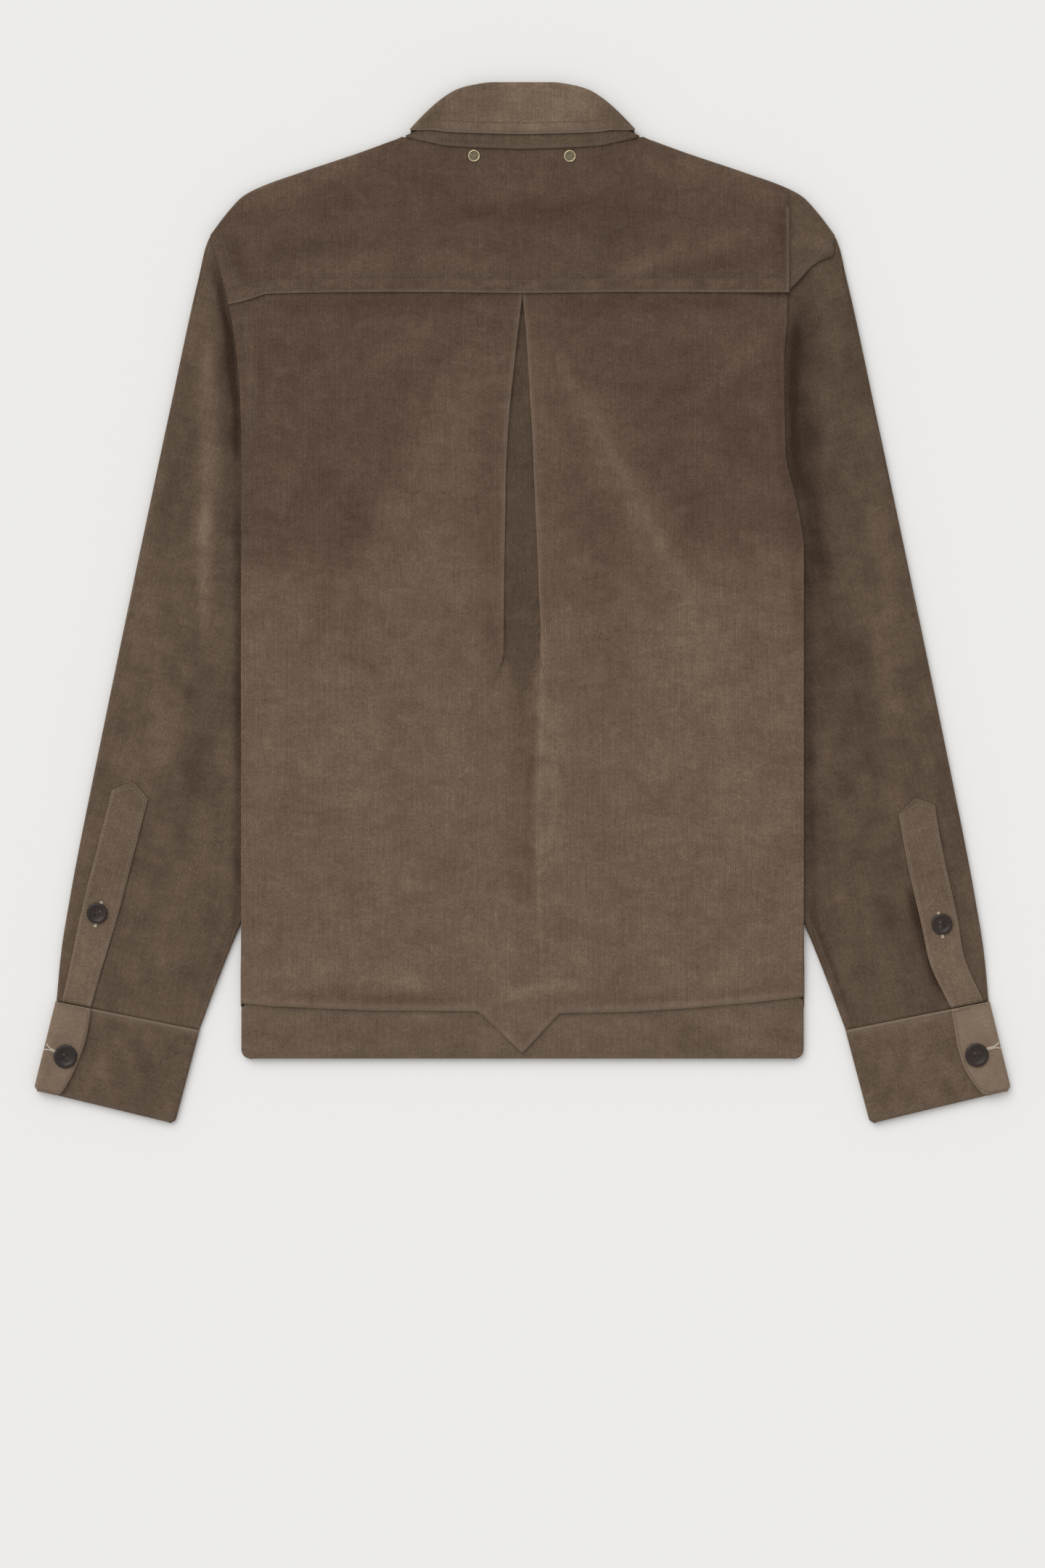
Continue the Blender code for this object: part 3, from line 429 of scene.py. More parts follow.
# Where the nap turns from dark above to pale below: x, y, how softly
NAP_TURNS = ((-213.0, 28.0, 16), (-160.0, 27.0, 18), (-132.0, 34.0, 40), (-111.0, 72.0, 52),
             (-95.0, 106.0, 56), (-76.0, 138.0, 56), (-48.0, 168.0, 52), (-14.0, 184.0, 50),
             (8.0, 196.0, 46), (34.0, 176.0, 46), (60.0, 124.0, 40), (84.0, 78.0, 36),
             (114.0, 34.0, 44), (140.0, 38.0, 34), (213.0, 46.0, 30))
# Lighter and darker sweeps of the nap, with painted shade and highlight along the centre crease, at
# the pleat's foot, above the hem seam and under the yoke's edge: change, width, path
BACK_NAP_AND_SHADE = (
    (0.17, 6, ((14, 214), (34, 176), (60, 128), (88, 76), (116, 28), (132, -16))),
    (0.12, 16, ((30, 190), (62, 126), (92, 70), (124, 16), (140, -50), (146, -130))),
    (0.10, 9, ((-62, 220), (-92, 196), (-122, 172))),
    (0.07, 8, ((-24, 214), (-44, 188), (-70, 166))),
    (-0.07, 12, ((-160, 104), (-134, 80), (-112, 44))),
    (0.06, 22, ((-52, 120), (-62, 60), (-70, -10))),
    (-0.09, 7, ((-118, 20), (-130, -26), (-140, -60))),
    (-0.10, 13, ((22, 188), (40, 118), (54, 40), (64, -40), (72, -120))),
    (0.05, 10, ((60, 60), (84, -10), (100, -90))),
    (0.05, 9, ((-140, -60), (-120, -120), (-128, -190))),
    (-0.05, 9, ((-186, -70), (-176, -130), (-184, -190))),
    (0.06, 16, ((150, -80), (156, -160), (150, -240))),
    (0.10, 7, ((188, 214), (166, 186), (146, 160))),
    (-0.08, 12, ((170, 190), (160, 140), (166, 90))),
    (-0.12, 7, ((-142, 30), (-154, -14), (-168, -62))),
    (-0.08, 10, ((60, 110), (72, 40), (78, -30), (84, -110))),
    (-0.10, 10, ((-20, 186), (-26, 120), (-26, 50), (-24, -20), (-22, -80))),
    # these four: painted shade on the left of the crease below the pleat, painted highlight on its
    # right
    (-0.15, 3.5, ((10, -60), (8, -100), (5, -140), (4, -180), (7, -240))),
    (-0.12, 10, ((0, -70), (-3, -130), (-6, -190), (0, -250))),
    (0.22, 2.8, ((15.5, 4), (14.4, -80), (12.6, -140), (12.2, -190), (13.2, -240), (15, -290))),
    (0.12, 9, ((22, -60), (24, -130), (22, -220))),
    # painted shade at the foot of the pleat's left fold
    (-0.10, 9, ((-24, -8), (-20, -32), (-8, -44))),
    # these four: painted highlight on the swell at the top of the V, painted shade in the hollows
    # beside it above the hem seam
    (0.24, 6, ((-24, -290), (-4, -294), (30, -289), (56, -292))),
    (-0.16, 6, ((-210, -290), (-150, -298), (-80, -301), (-40, -300))),
    (-0.12, 4, ((-132, -297), (-80, -300), (-20, -298))),
    (-0.12, 5, ((40, -300), (110, -300), (170, -294), (208, -288))),
    (0.10, 8, ((-190, -276), (-120, -284), (-60, -286))),
    # these two: painted shadow under the yoke's lapped edge
    (-0.12, 7, ((-205, 222), (-100, 228), (-12, 226))),
    (-0.12, 7, ((14, 226), (100, 228), (196, 226))),
    (0.12, 3.5, ((-209, 220), (-206, 190), (-206, 150))),
    (-0.10, 4, ((-200, 214), (-198, 170), (-199, 130))),
    (-0.12, 5, ((195, 226), (193, 170), (196, 120), (206, 60), (208, -60))),
)


def back_relief(x, y):
    """Height of the back's creases."""
    return strokes(BACK_CREASES, x, y) + 0.5 * drift(x, y, 46, 60, 3.1)


def in_pleat(x, y):
    """1 between the pleat's two edges, fading out below its foot."""
    soft = mix(1.2, 14, smooth((-20 - y) / 60))
    return smooth((fold_edge(-1 if x < 0 else 1, y) - abs(x) + 0.3) / soft) * smooth((y + 150) / 135)


def back_nap_and_shade(x, y):
    """Shade of the back: dark above, pale below, with painted shade between the pleat's folds and
    painted shade and highlight in some strokes.
    """
    pale = mix(0.83, 1.0, smooth((90 - y) / 170))
    stray = 14 * drift(x, y, 17, 34, 5.5) + 9 * drift(x, y, 7, 16, 2.5)
    soft = read(NAP_TURNS, x, 2)
    shade = mix(pale, 0.67, smooth((y - read(NAP_TURNS, x) + stray * soft / 50) / soft + 0.5))
    inside = in_pleat(x, y)
    # 0.60 is painted shade on the pleat's underlay, between its folds
    return mix(shade, 0.60, inside) + strokes(BACK_NAP_AND_SHADE, x, y) * (1 - inside)


def roll(step, top, bottom, wall=BACK_WALL, steps=ROLL_STEPS):
    """Inset and height of a quarter roll at an edge: step 0 is the edge, halfway up."""
    outer = (top - bottom) / 2
    radius = outer - wall / 2
    angle = step / steps * math.pi / 2
    rise = max(radius * math.sin(angle), EDGE_CLEAR * wall)
    return outer - radius * math.cos(angle), (top + bottom) / 2 + rise


def side_bottom(y):
    """Lower end of the back's side roll: the fronts' face, or just under the armhole edge."""
    armhole = back_height(BODY_HALF_WIDTH, y) + HALF - 1.6
    return mix(front_low(BODY_HALF_WIDTH, y), armhole, smooth((y - UNDERARM + 5) / 40))


def fold_edge(side, y):
    """The pleat's edge, as a distance from the middle that grows on the way down."""
    return eased(FOLD_EDGES[side], y)


def pleat_point(step, side, y):
    """Half of the pleat: over the fold, back under it and in to the middle, flat lower down."""
    radius = PLEAT_PITCH / 2
    centre = -fold_edge(side, y) - radius
    depth = max(1.0, PLEAT_DEPTH * smooth((y - PLEAT_END + 4) / 60))
    height = back_height(centre, y)
    if step <= FOLD_STEPS:
        turn = math.pi * step / FOLD_STEPS
        x = centre + radius * math.sin(turn)
        z = height - radius + radius * math.cos(turn)
    elif step <= FOLD_STEPS + RETURN_STEPS:
        x = centre - depth * (step - FOLD_STEPS) / RETURN_STEPS
        z = height - PLEAT_PITCH
    elif step <= 2 * FOLD_STEPS + RETURN_STEPS:
        turn = math.pi * (step - FOLD_STEPS - RETURN_STEPS) / FOLD_STEPS
        x = centre - depth - radius * math.sin(turn)
        z = height - 3 * radius + radius * math.cos(turn)
    else:
        x = (centre - depth) * (PLEAT_STEPS - step) / UNDERLAY_STEPS
        z = height - 2 * PLEAT_PITCH
    flat_x = -PLEAT_FLAT[side] * (1 - step / PLEAT_STEPS)
    out = smooth((PLEAT_END - y) / PLEAT_UNROLL)
    return -side * mix(x, flat_x, out), mix(z, back_height(flat_x, y), out)


def back_section(column, y):
    """Across the back at a height: side roll, panel and half of the pleat, then the same back."""
    side = -1 if column <= HALF_BACK else 1
    step = column if side < 0 else 2 * HALF_BACK - column
    outer = abs(eased(LEFT_EDGE if side < 0 else RIGHT_EDGE, y))
    inset, z = roll(min(step, ROLL_STEPS), back_height(outer, y) + HALF, side_bottom(y))
    if step <= ROLL_STEPS:
        return side * (outer - inset), z
    if step > ROLL_STEPS + SIDE_SPANS:
        return pleat_point(step - ROLL_STEPS - SIDE_SPANS, side, y)
    start, _ = pleat_point(0, side, y)
    x = mix(side * (outer - inset), start, (step - ROLL_STEPS) / SIDE_SPANS)
    return x, back_height(x, y)


def back_point(column, row):
    """Point of the back. The two seams depend on x, so it is found in a few steps."""
    x = 0
    for _ in range(5):
        y = mix(read(HEM_SEAM, x), eased(YOKE_SEAM, x) + YOKE_LAP, BACK_ROWS[row])
        x, z = back_section(column, y)
    step = min(column, 2 * HALF_BACK - column)
    free = smooth((step - ROLL_STEPS + 1) / 8) * smooth((226 - y) / 22) * smooth((y + 296) / 18)
    return x, y, z + back_relief(x, y) * free


def back_wear_and_highlight(column, row, x, y):
    """Paler pile, from wear and painted highlight, on the pleat's pressed edges and on the fold above
    the hem band.
    """
    if row < 3:
        return 0.34 * math.exp(-(row / 1.2) ** 2)
    step = min(column, 2 * HALF_BACK - column) - ROLL_STEPS - SIDE_SPANS
    return 0.42 * math.exp(-((step - 0.8) / 0.9) ** 2) * smooth((y + 60) / 90)


# warmth falls to 0 between the pleat's folds, so that their painted shade takes the cooler dark
back = cloth("dressed_back_panel", 2 * HALF_BACK, len(BACK_ROWS) - 1, back_point,
             lambda i, j, x, y: (x, y), BACK_WALL, nap_and_shade=back_nap_and_shade, wear_and_highlight=back_wear_and_highlight,
             warmth=lambda x, y: 1 - in_pleat(x, y))
dress(back, needlecord, "corduroy", "back_panel")

# Yoke
# A straight shaped piece across the shoulders, folded over the top of the back and edge-stitched
# to it. Its right-hand end is turned down to the sleeve, so the wales there fan out to the seam.

YOKE_COLUMNS = fine((-236.2, -201.3, -91.3, -88.8, -84.5, -77.0, 77.0, 84.5, 88.8, 91.3, 180.0,
                     201.1), 2.7)
YOKE_SPANS = len(YOKE_COLUMNS) - 1
YOKE_END_SPANS = 13
YOKE_ROWS = fine((0, 0.006), 0.006) + fine((0.012, 0.10), 0.0068) + fine((0.115, 0.88), 0.024)
YOKE_FOLD = 201.3
NECK_END = 84.0
NECK_LAP = 6.0
SHOULDER_START = 91.0
SHOULDER = ((90.5, 352.8), (123.5, 340.7), (167.5, 325.9), (200.5, 313.8), (211.5, 307.7),
            (222.5, 296.2), (236.2, 278.0))
NECK_SEAM = ((0.0, 343.2), (35.5, 344.3), (58.6, 345.9), (70.0, 348.3), (80.6, 350.6),
             (88.5, 352.4))
YOKE_RIGHT_EDGE = ((200.0, 202.0), (236.0, 202.2), (243.0, 208.2), (254.0, 218.5),
                   (264.0, 229.0), (273.0, 236.2), (360.0, 236.2))
YOKE_CREASES = (
    (0.6, 8, ((-200, 262), (-160, 276), (-110, 270), (-64, 280))),
    (-0.5, 8, ((-206, 244), (-176, 252), (-130, 250))),
    (0.5, 10, ((-120, 318), (-60, 300), (20, 306), (92, 290))),
    (-0.5, 8, ((40, 262), (96, 268), (150, 258))),
    (-0.6, 6, ((192, 296), (176, 280), (168, 256))),
    (0.5, 6, ((186, 262), (160, 282), (120, 290))),
    (-0.7, 5, ((-226, 262), (-206, 272), (-188, 292))),
    (0.4, 9, ((-196, 300), (-150, 316), (-110, 322))),
)
YOKE_NAP = (
    (0.14, 9, ((-186, 250), (-150, 254), (-110, 258), (-84, 268))),
    (0.12, 6, ((66, 248), (96, 258), (124, 272))),
    (-0.10, 7, ((80, 250), (120, 254), (170, 258), (196, 262))),
    (0.10, 8, ((64, 246), (110, 262), (164, 276), (190, 280))),
    (-0.07, 8, ((-60, 300), (0, 292), (56, 300))),
    (0.07, 7, ((-150, 286), (-96, 296), (-30, 310), (36, 316))),
    (0.10, 6, ((86, 336), (120, 326), (152, 322))),
    (0.08, 8, ((-90, 262), (-30, 256), (30, 252))),
    (-0.08, 8, ((-200, 276), (-160, 268), (-120, 276))),
    (0.14, 12, ((-226, 300), (-190, 314), (-140, 330), (-104, 342))),
    (0.08, 14, ((104, 340), (150, 326), (196, 308))),
    (-0.07, 20, ((-180, 290), (-90, 300), (40, 296), (150, 290))),
    (0.12, 4, ((-232, 270), (-228, 255), (-222, 235))),
    (-0.10, 5, ((-220, 282), (-214, 256), (-208, 236))),
    (-0.14, 6, ((196, 306), (197, 270), (197, 240))),
    (0.16, 5, ((222, 280), (226, 270), (232, 266))),
)
YOKE_STITCHES = (2.0, 9.4)  # two rows, above the folded edge
STITCH_STEPS = 5  # points along a stitch


def yoke_height(x, y):
    """Middle of the yoke's wall, lapped over the back along its seam."""
    lap = 1.65 * smooth((eased(YOKE_SEAM, x) + 26 - y) / 14)
    fold = 2.4 * smooth((x - YOKE_FOLD + 40) / 38) * (x < YOKE_FOLD) * smooth((314 - y) / 18)
    return back_height(x, y) + max(lap, 0.4) + fold


def shoulder_top(x):
    """Outline of the shoulders, stepped down beside the collar."""
    if abs(x) >= SHOULDER_START:
        return eased(SHOULDER, abs(x))
    return read(NECK_SEAM, abs(x)) - 0.4 + NECK_LAP * smooth((NECK_END - abs(x)) / 6)


def shoulder_roll(x):
    """1 where the shoulder rolls over to the front, 0 at the neck and over the sleeve head."""
    return smooth((abs(x) - SHOULDER_START) / 5) * smooth((232 - abs(x)) / 8)


def yoke_relief(x, y):
    """Creases, the puckers of the seam, and a dip under each row of stitches."""
    up = y - eased(YOKE_SEAM, x)
    pucker = 0.30 * drift(x, y, 4.6, 30, 7.7) * smooth((14 - up) / 8)
    dips = -0.30 * sum(math.exp(-((up - row) / 1.0) ** 2) for row in YOKE_STITCHES)
    return strokes(YOKE_CREASES, x, y) + 0.3 * drift(x, y, 40, 34, 1.4) + pucker + dips


def yoke_point(column, row):
    """Point of the yoke: up from its seam, and rolled over at the shoulders."""
    along = YOKE_ROWS[min(row, len(YOKE_ROWS) - 1)]
    over = row >= len(YOKE_ROWS)
    step = ROLL_STEPS - (row - len(YOKE_ROWS))
    x, y = 0, YOKE_SEAM[0][1]
    for _ in range(6):
        left = eased(LEFT_EDGE, y)
        right = eased(YOKE_RIGHT_EDGE, y)
        if column <= YOKE_SPANS:
            share = (YOKE_COLUMNS[column] - YOKE_COLUMNS[0]) / (YOKE_COLUMNS[-1] - YOKE_COLUMNS[0])
            x = mix(left, YOKE_COLUMNS[-1], share)
        else:
            x = mix(YOKE_FOLD + 0.2, right, (column - YOKE_SPANS - 1) / (YOKE_END_SPANS - 1))
        z = yoke_height(x, y)
        inset, rolled = roll(max(step, 0), z + HALF, front_low(x, y))
        amount = shoulder_roll(x)
        edge = shoulder_top(x)
        full, _ = roll(ROLL_STEPS, z + HALF, front_low(x, y))
        flat = (len(YOKE_ROWS) + ROLL_STEPS - row) * 0.9
        y = edge - mix(flat, inset, amount)
        if not over:
            start = edge - mix((ROLL_STEPS + 1) * 0.9, full + 1.5, amount)
            y = mix(eased(YOKE_SEAM, x), start, along / YOKE_ROWS[-1])
    if over:
        return x, y, mix(z, rolled, amount)
    away = min(x + 226, YOKE_FOLD - 4 - x) if x < YOKE_FOLD else 0
    free = smooth(away / 12) * smooth((start - y) / 9)
    return x, y, z + yoke_relief(x, y) * free


def yoke_cut(column, row, x, y):
    """Straight wales, turned at the folded end."""
    if x <= YOKE_FOLD:
        return x, y
    return YOKE_FOLD + (x - YOKE_FOLD) * 0.72 + (y - 320) * 0.66, y - x * 0.6


def yoke_nap(x, y):
    """Dark, with a paler strip between the two rows of stitches and a greyer turned end."""
    up = y - eased(YOKE_SEAM, x)
    mottled = 0.07 + 0.16 * drift(x, y, 9, 5, 6.6)
    strip = mottled * smooth((up + 0.5) / 1.5) * smooth((11 - up) / 2.5)
    return mix(0.655, 0.74, x > YOKE_FOLD) + strip * (x < YOKE_FOLD) + strokes(YOKE_NAP, x, y)


def yoke_wear_and_highlight(column, row, x, y):
    """Paler pile, from wear and painted highlight, on the folded lower edge, and on the fold at the
    right.
    """
    if x > YOKE_FOLD:
        return 0.0
    edge = 0.35 * math.exp(-((y - eased(YOKE_SEAM, x)) / 1.0) ** 2)
    return edge + 0.4 * math.exp(-((YOKE_FOLD - x) / 1.4) ** 2) * (y < 300)


yoke = cloth("dressed_yoke", YOKE_SPANS + YOKE_END_SPANS, len(YOKE_ROWS) + ROLL_STEPS, yoke_point,
             yoke_cut, BACK_WALL, nap_and_shade=yoke_nap, wear_and_highlight=yoke_wear_and_highlight,
             warmth=lambda x, y: 0.9 * (x < YOKE_FOLD))
dress(yoke, needlecord, "corduroy", "back_yoke")


def face_over(*pieces):
    """Gives a function for the height of these pieces' upper face, by dropping a line on them."""
    graph = bpy.context.evaluated_depsgraph_get()
    trees = [BVHTree.FromObject(piece, graph) for piece in pieces]

    def height(x, y):
        hits = [tree.ray_cast(Vector((x, y, 50)) * MM, Vector((0, 0, -1)))[0] for tree in trees]
        return max([hit.z / MM for hit in hits if hit] or [0.0])

    return height


def cotton(name, colour, dark):
    """Twisted sewing thread: dull, hairy at the width of a thread, with painted shade where it goes
    down into the cloth.
    """
    made, shader = new_material(name)
    tree = made.node_tree
    depth = add_node(tree, "ShaderNodeAttribute", attribute_name="hole_shade")
    spot = add_node(tree, "ShaderNodeTexCoord")
    # the scale is in waves to the metre: 1400 is a fuzz of some 0.7 mm, as wide as the thread
    fuzz = add_node(tree, "ShaderNodeTexNoise", [("Vector", spot.outputs["Object"]),
                                                 ("Scale", 1400.0)])
    share = add_node(tree, "ShaderNodeMath", [(0, fuzz.outputs["Fac"]), (1, 0.5),
                                              (2, depth.outputs["Fac"])],
                     operation="MULTIPLY_ADD", use_clamp=True)
    tint = add_node(tree, "ShaderNodeMix", [(0, share.outputs[0]), (6, paint(colour)),
                                            (7, paint(dark))], data_type="RGBA")
    tree.links.new(tint.outputs[2], shader.inputs["Base Color"])
    shader.inputs["Roughness"].default_value = 0.8
    shader.inputs["Sheen Weight"].default_value = 0.2
    return made


def stitched(name, rows, face, finish, pitch=2.6, width=0.7, sunk=0.16):
    """Rows of stitches in one mesh. Each stitch is a bead of thread drawn in at both ends."""
    sewn = bmesh.new()
    # how far each point has gone down into the cloth, for the thread's painted shade
    hole_shade = sewn.verts.layers.float.new("hole_shade")
    for row in rows:
        spots = [(0.0, *row[0])]
        for x, y in row[1:]:
            spots.append((spots[-1][0] + math.dist(spots[-1][1:], (x, y)), x, y))
        total = spots[-1][0]
        steps = STITCH_STEPS * max(1, round(total / pitch))
        line = []
        for i in range(steps + 1):
            at = total * i / steps
            x, y = eased(spots, at, 1), eased(spots, at, 2)
            ahead, behind = min(total, at + 0.3), max(0.0, at - 0.3)
            turn = math.atan2(eased(spots, ahead, 2) - eased(spots, behind, 2),
                              eased(spots, ahead, 1) - eased(spots, behind, 1))
            line.append((x, y, face(x, y), turn))
        made = bmesh.ops.create_grid(sewn, x_segments=steps, y_segments=6, size=1)["verts"]
        for vert in made:
            i = round((vert.co.x + 1) / 2 * steps)
            around = (vert.co.y + 1) * math.pi
            x, y, z, turn = line[i]
            puff = math.sin(math.pi * (i % STITCH_STEPS) / STITCH_STEPS) ** 0.5
            radius = width / 2 * (0.3 + 0.7 * puff) * (0 < i < steps)
            side = radius * math.cos(around)
            vert.co = ((x - math.sin(turn) * side) * MM, (y + math.cos(turn) * side) * MM,
                       (z - sunk * (1 - puff) + radius * (0.15 + 0.8 * math.sin(around))) * MM)
            vert[hole_shade] = (1 - puff) ** 2
    bmesh.ops.remove_doubles(sewn, verts=sewn.verts, dist=0.000002)
    bmesh.ops.recalc_face_normals(sewn, faces=sewn.faces)
    piece = put_down(sewn, name)
    dress(piece, finish, "corduroy")
    return piece


def beside(path, aside):
    """A path moved sideways, to its left for a positive distance."""
    out = []
    for i, (x, y) in enumerate(path):
        (ax, ay), (bx, by) = path[max(0, i - 1)], path[min(len(path) - 1, i + 1)]
        length = math.dist((ax, ay), (bx, by))
        out.append((x - (by - ay) / length * aside, y + (bx - ax) / length * aside))
    return out


# Brown sewing cotton, close to the cloth, so that a seam reads as a row of small dips
brown_thread = cotton("brown_cotton_thread", "6e5b4b", "2c211b")
yoke_line = [(x, eased(YOKE_SEAM, x)) for x in fine((-219, 200.5), 12)]
left_armhole = [(-229.3, 282.4), (-227.5, 275.3), (-221.4, 258.2), (-215.9, 237.3)]
left_back_armhole = [(-214.2, 229.5), (-212.0, 220.0), (-209.8, 200), (-207.8, 180),
                     (-206.4, 150), (-206.2, 132)]
turned_end = [(236.2, 273.0), (229.0, 264.0), (218.5, 254.0), (208.2, 243.0), (203.4, 237.4)]
yoke_rows = [beside(yoke_line, up) for up in YOKE_STITCHES]
yoke_rows += [left_armhole, beside(turned_end, -1.8), beside(turned_end, -5.6)]
yoke_stitches = stitched("yoke_stitches", yoke_rows, face_over(yoke), brown_thread)
back_stitches = stitched("back_stitches", [left_back_armhole], face_over(back), brown_thread)

# Fronts
# Left and right front lie face down under the back, lapped along the middle for the buttons, and
# seamed to the back at the sides and shoulders. Nothing of them shows from above.

FRONT_OUTER = ((-306.0, 213.4), (10.0, 213.4), (28.0, 209.5), (42.0, 199.0), (52.0, 188.0),
               (62.0, 183.5), (75.0, 184.5), (298.0, 202.4))
FRONT_COLUMNS = fine((0, 0.10, 1), 0.045)
FRONT_MIDDLE_START = 32.0
FRONT_MIDDLE = fine((26.0, 12.0, -12.0, -17.0), 3)
FRONT_ROWS = fine((0, 0.03, 0.5, 0.66, 0.95), 0.014)
FRONT_NECK = 268.0
HEM_TOP = -306.0
GAP = 0.3  # between pieces that are sewn together
SIDES = {"left": -1, "right": 1}
CUT_APART = 700  # keeps the wales of separate pieces from repeating
FRONT_CREASES = (
    (0.7, 9, ((-180, 180), (-130, 60), (-120, -60))),
    (-0.6, 8, ((-80, 200), (-90, 90), (-60, -20))),
    (0.6, 10, ((150, 160), (110, 40), (120, -80))),
    (-0.6, 8, ((90, 180), (74, 60), (84, -60))),
    (0.6, 9, ((-170, -120), (-120, -190), (-90, -260))),
    (-0.5, 8, ((160, -110), (120, -180), (110, -250))),
)


def front_neck(x):
    """Curve of the front neckline."""
    return FRONT_NECK + 81 * (min(abs(x), 88.0) / 88.0) ** 2


def front_top(x):
    """Top edge of a front: the shoulder, then the neckline under the stand."""
    if abs(x) >= SHOULDER_START:
        return eased(SHOULDER, abs(x))
    return front_neck(x) - 1.5


def overlap_rise(side, x):
    """The right front lies on the left front in the middle."""
    return smooth((32 - x) / 12) if side > 0 else 0


def front_point(side, column, row):
    """Point of a front: rolled up at its side and shoulder, flat on the surface elsewhere."""
    step = min(column, ROLL_STEPS)
    up_step = ROLL_STEPS - (row - len(FRONT_ROWS))
    x, y = 0, 0
    for _ in range(7):
        outer = eased(FRONT_OUTER, y)
        low = front_low(side * outer, y)
        inset, risen = roll(step, back_height(outer, y) + HALF, low)
        sideways = smooth((16 - y) / 20)
        inset = mix(0.9 * step, inset, sideways)
        span = column - ROLL_STEPS
        if span < len(FRONT_COLUMNS):
            x = side * mix(outer - inset, FRONT_MIDDLE_START, FRONT_COLUMNS[max(span, 0)])
        else:
            x = side * FRONT_MIDDLE[span - len(FRONT_COLUMNS)]
        base = front_low(x, y) + HALF + 1.95 * overlap_rise(side, x)
        amount = shoulder_roll(x)
        edge = front_top(x)
        top = yoke_height(x, edge) + HALF
        full, _ = roll(ROLL_STEPS, top, front_low(x, edge))
        if row >= len(FRONT_ROWS):
            up_inset, up = roll(up_step, top, front_low(x, edge))
            y = edge - mix(up_step * 0.9, up_inset, amount)
            z = mix(base, top + front_low(x, edge) - up, amount)
        else:
            start = edge - mix((ROLL_STEPS + 1) * 0.9, full + 1.5, amount)
            y = mix(HEM_TOP + GAP, start, FRONT_ROWS[row] / FRONT_ROWS[-1])
            z = base
    if column <= ROLL_STEPS:
        return x, y, mix(z, back_height(outer, y) + HALF + low - risen, sideways)
    swell = max(0.0, strokes(FRONT_CREASES, x, y)) * smooth((abs(x) - 36) / 12)
    return x, y, z + swell * smooth((190 - abs(x)) / 14) * (row < len(FRONT_ROWS))


for name, side in SIDES.items():
    front = cloth("dressed_front_" + name, len(FRONT_COLUMNS) + len(FRONT_MIDDLE) + ROLL_STEPS - 1,
                  len(FRONT_ROWS) + ROLL_STEPS, lambda i, j: front_point(side, i, j),
                  lambda i, j, x, y: (x + CUT_APART * side, y), BACK_WALL)
    dress(front, needlecord, "corduroy", "front_" + name)

# Hem band
# A folded strip round the hem, stiffer than the body and lapped under its lower edge. Its back part
# rises behind a V in the middle, where the back's seam dips to the hem.

BAND_WALL = 1.6
HEM = -344.6
HEM_CORNER = 6.6
BAND_HEIGHT = BACK_HEIGHT + 1.4 - HALF - GAP - BAND_WALL / 2
BAND_TOP = BAND_HEIGHT + BAND_WALL / 2
BAND_SPANS = fine((0, 1), 0.0071)
BAND_ROWS = fine((0, 0.17), 0.017) + fine((0.2, 0.94, 1), 0.06)
BAND_LAP = 6.0
BAND_FLAT = 24  # columns of a front band beside the lap, and in it
BAND_MIDDLE = 12


def band_edge(y, seam):
    """Half width of the hem band: rounded at the hem, inside the body where they lap."""
    below = min(HEM_CORNER, max(0.0, HEM + HEM_CORNER - y))
    corner = HEM_CORNER - math.sqrt(HEM_CORNER ** 2 - below ** 2)
    return BODY_HALF_WIDTH - corner - 2.8 * smooth((y - seam + 4) / 3)


def back_band_point(column, row):
    """Point of the back band: across it at column, up to the back's seam at row."""
    x, y = 0, HEM
    last = len(BAND_SPANS) + 2 * ROLL_STEPS - 1
    side = -1 if column < last / 2 else 1
    step = min(column, last - column)
    for _ in range(5):
        seam = read(HEM_SEAM, x)
        y = mix(HEM, seam + BAND_LAP, BAND_ROWS[row])
        edge = band_edge(y, seam)
        inset, z = roll(min(step, ROLL_STEPS), BAND_TOP, 0, BAND_WALL)
        if step <= ROLL_STEPS:
            x = side * (edge - inset)
        else:
            x = mix(-(edge - inset), edge - inset, BAND_SPANS[column - ROLL_STEPS])
            z = BAND_HEIGHT
    y += 0.8 * (1 - min(step, ROLL_STEPS) / ROLL_STEPS) * smooth((HEM + 4 - y) / 4)
    ripple = 0.25 * drift(x, y, 13, 24, 9.2) * smooth((seam - 1 - y) / 5)
    return x, y, z + ripple * smooth((step - ROLL_STEPS) / 4)


def front_band_point(side, column, row):
    """Point of a front band: rolled up at its side, flat, then lapped in the middle."""
    y = mix(HEM, HEM_TOP, BAND_ROWS[row])
    edge = band_edge(y, 0)
    inset, risen = roll(min(column, ROLL_STEPS), BAND_TOP, 0, BAND_WALL)
    if column <= ROLL_STEPS:
        return side * (edge - inset), y, BAND_TOP - risen
    span = column - ROLL_STEPS
    if span <= BAND_FLAT:
        x = side * mix(edge - inset, FRONT_MIDDLE_START, span / BAND_FLAT)
    else:
        x = side * mix(FRONT_MIDDLE_START, FRONT_MIDDLE[-1], (span - BAND_FLAT) / BAND_MIDDLE)
    return x, y, BAND_WALL / 2 + 2.1 * overlap_rise(side, x)


band = cloth("dressed_hem_band_back", len(BAND_SPANS) + 2 * ROLL_STEPS - 1, len(BAND_ROWS) - 1,
             back_band_point, lambda i, j, x, y: (x + 0.7, y), BAND_WALL,
             nap_and_shade=lambda x, y: 0.92 + 0.14 * drift(x, y, 30, 12, 2.2))
dress(band, needlecord, "corduroy", "hem_band_back")
for name, side in SIDES.items():
    front_band = cloth("dressed_hem_band_front_" + name, ROLL_STEPS + BAND_FLAT + BAND_MIDDLE,
                       len(BAND_ROWS) - 1, lambda i, j: front_band_point(side, i, j),
                       lambda i, j, x, y: (x + CUT_APART * side, y), BAND_WALL)
    dress(front_band, needlecord, "corduroy", "hem_band_front_" + name)

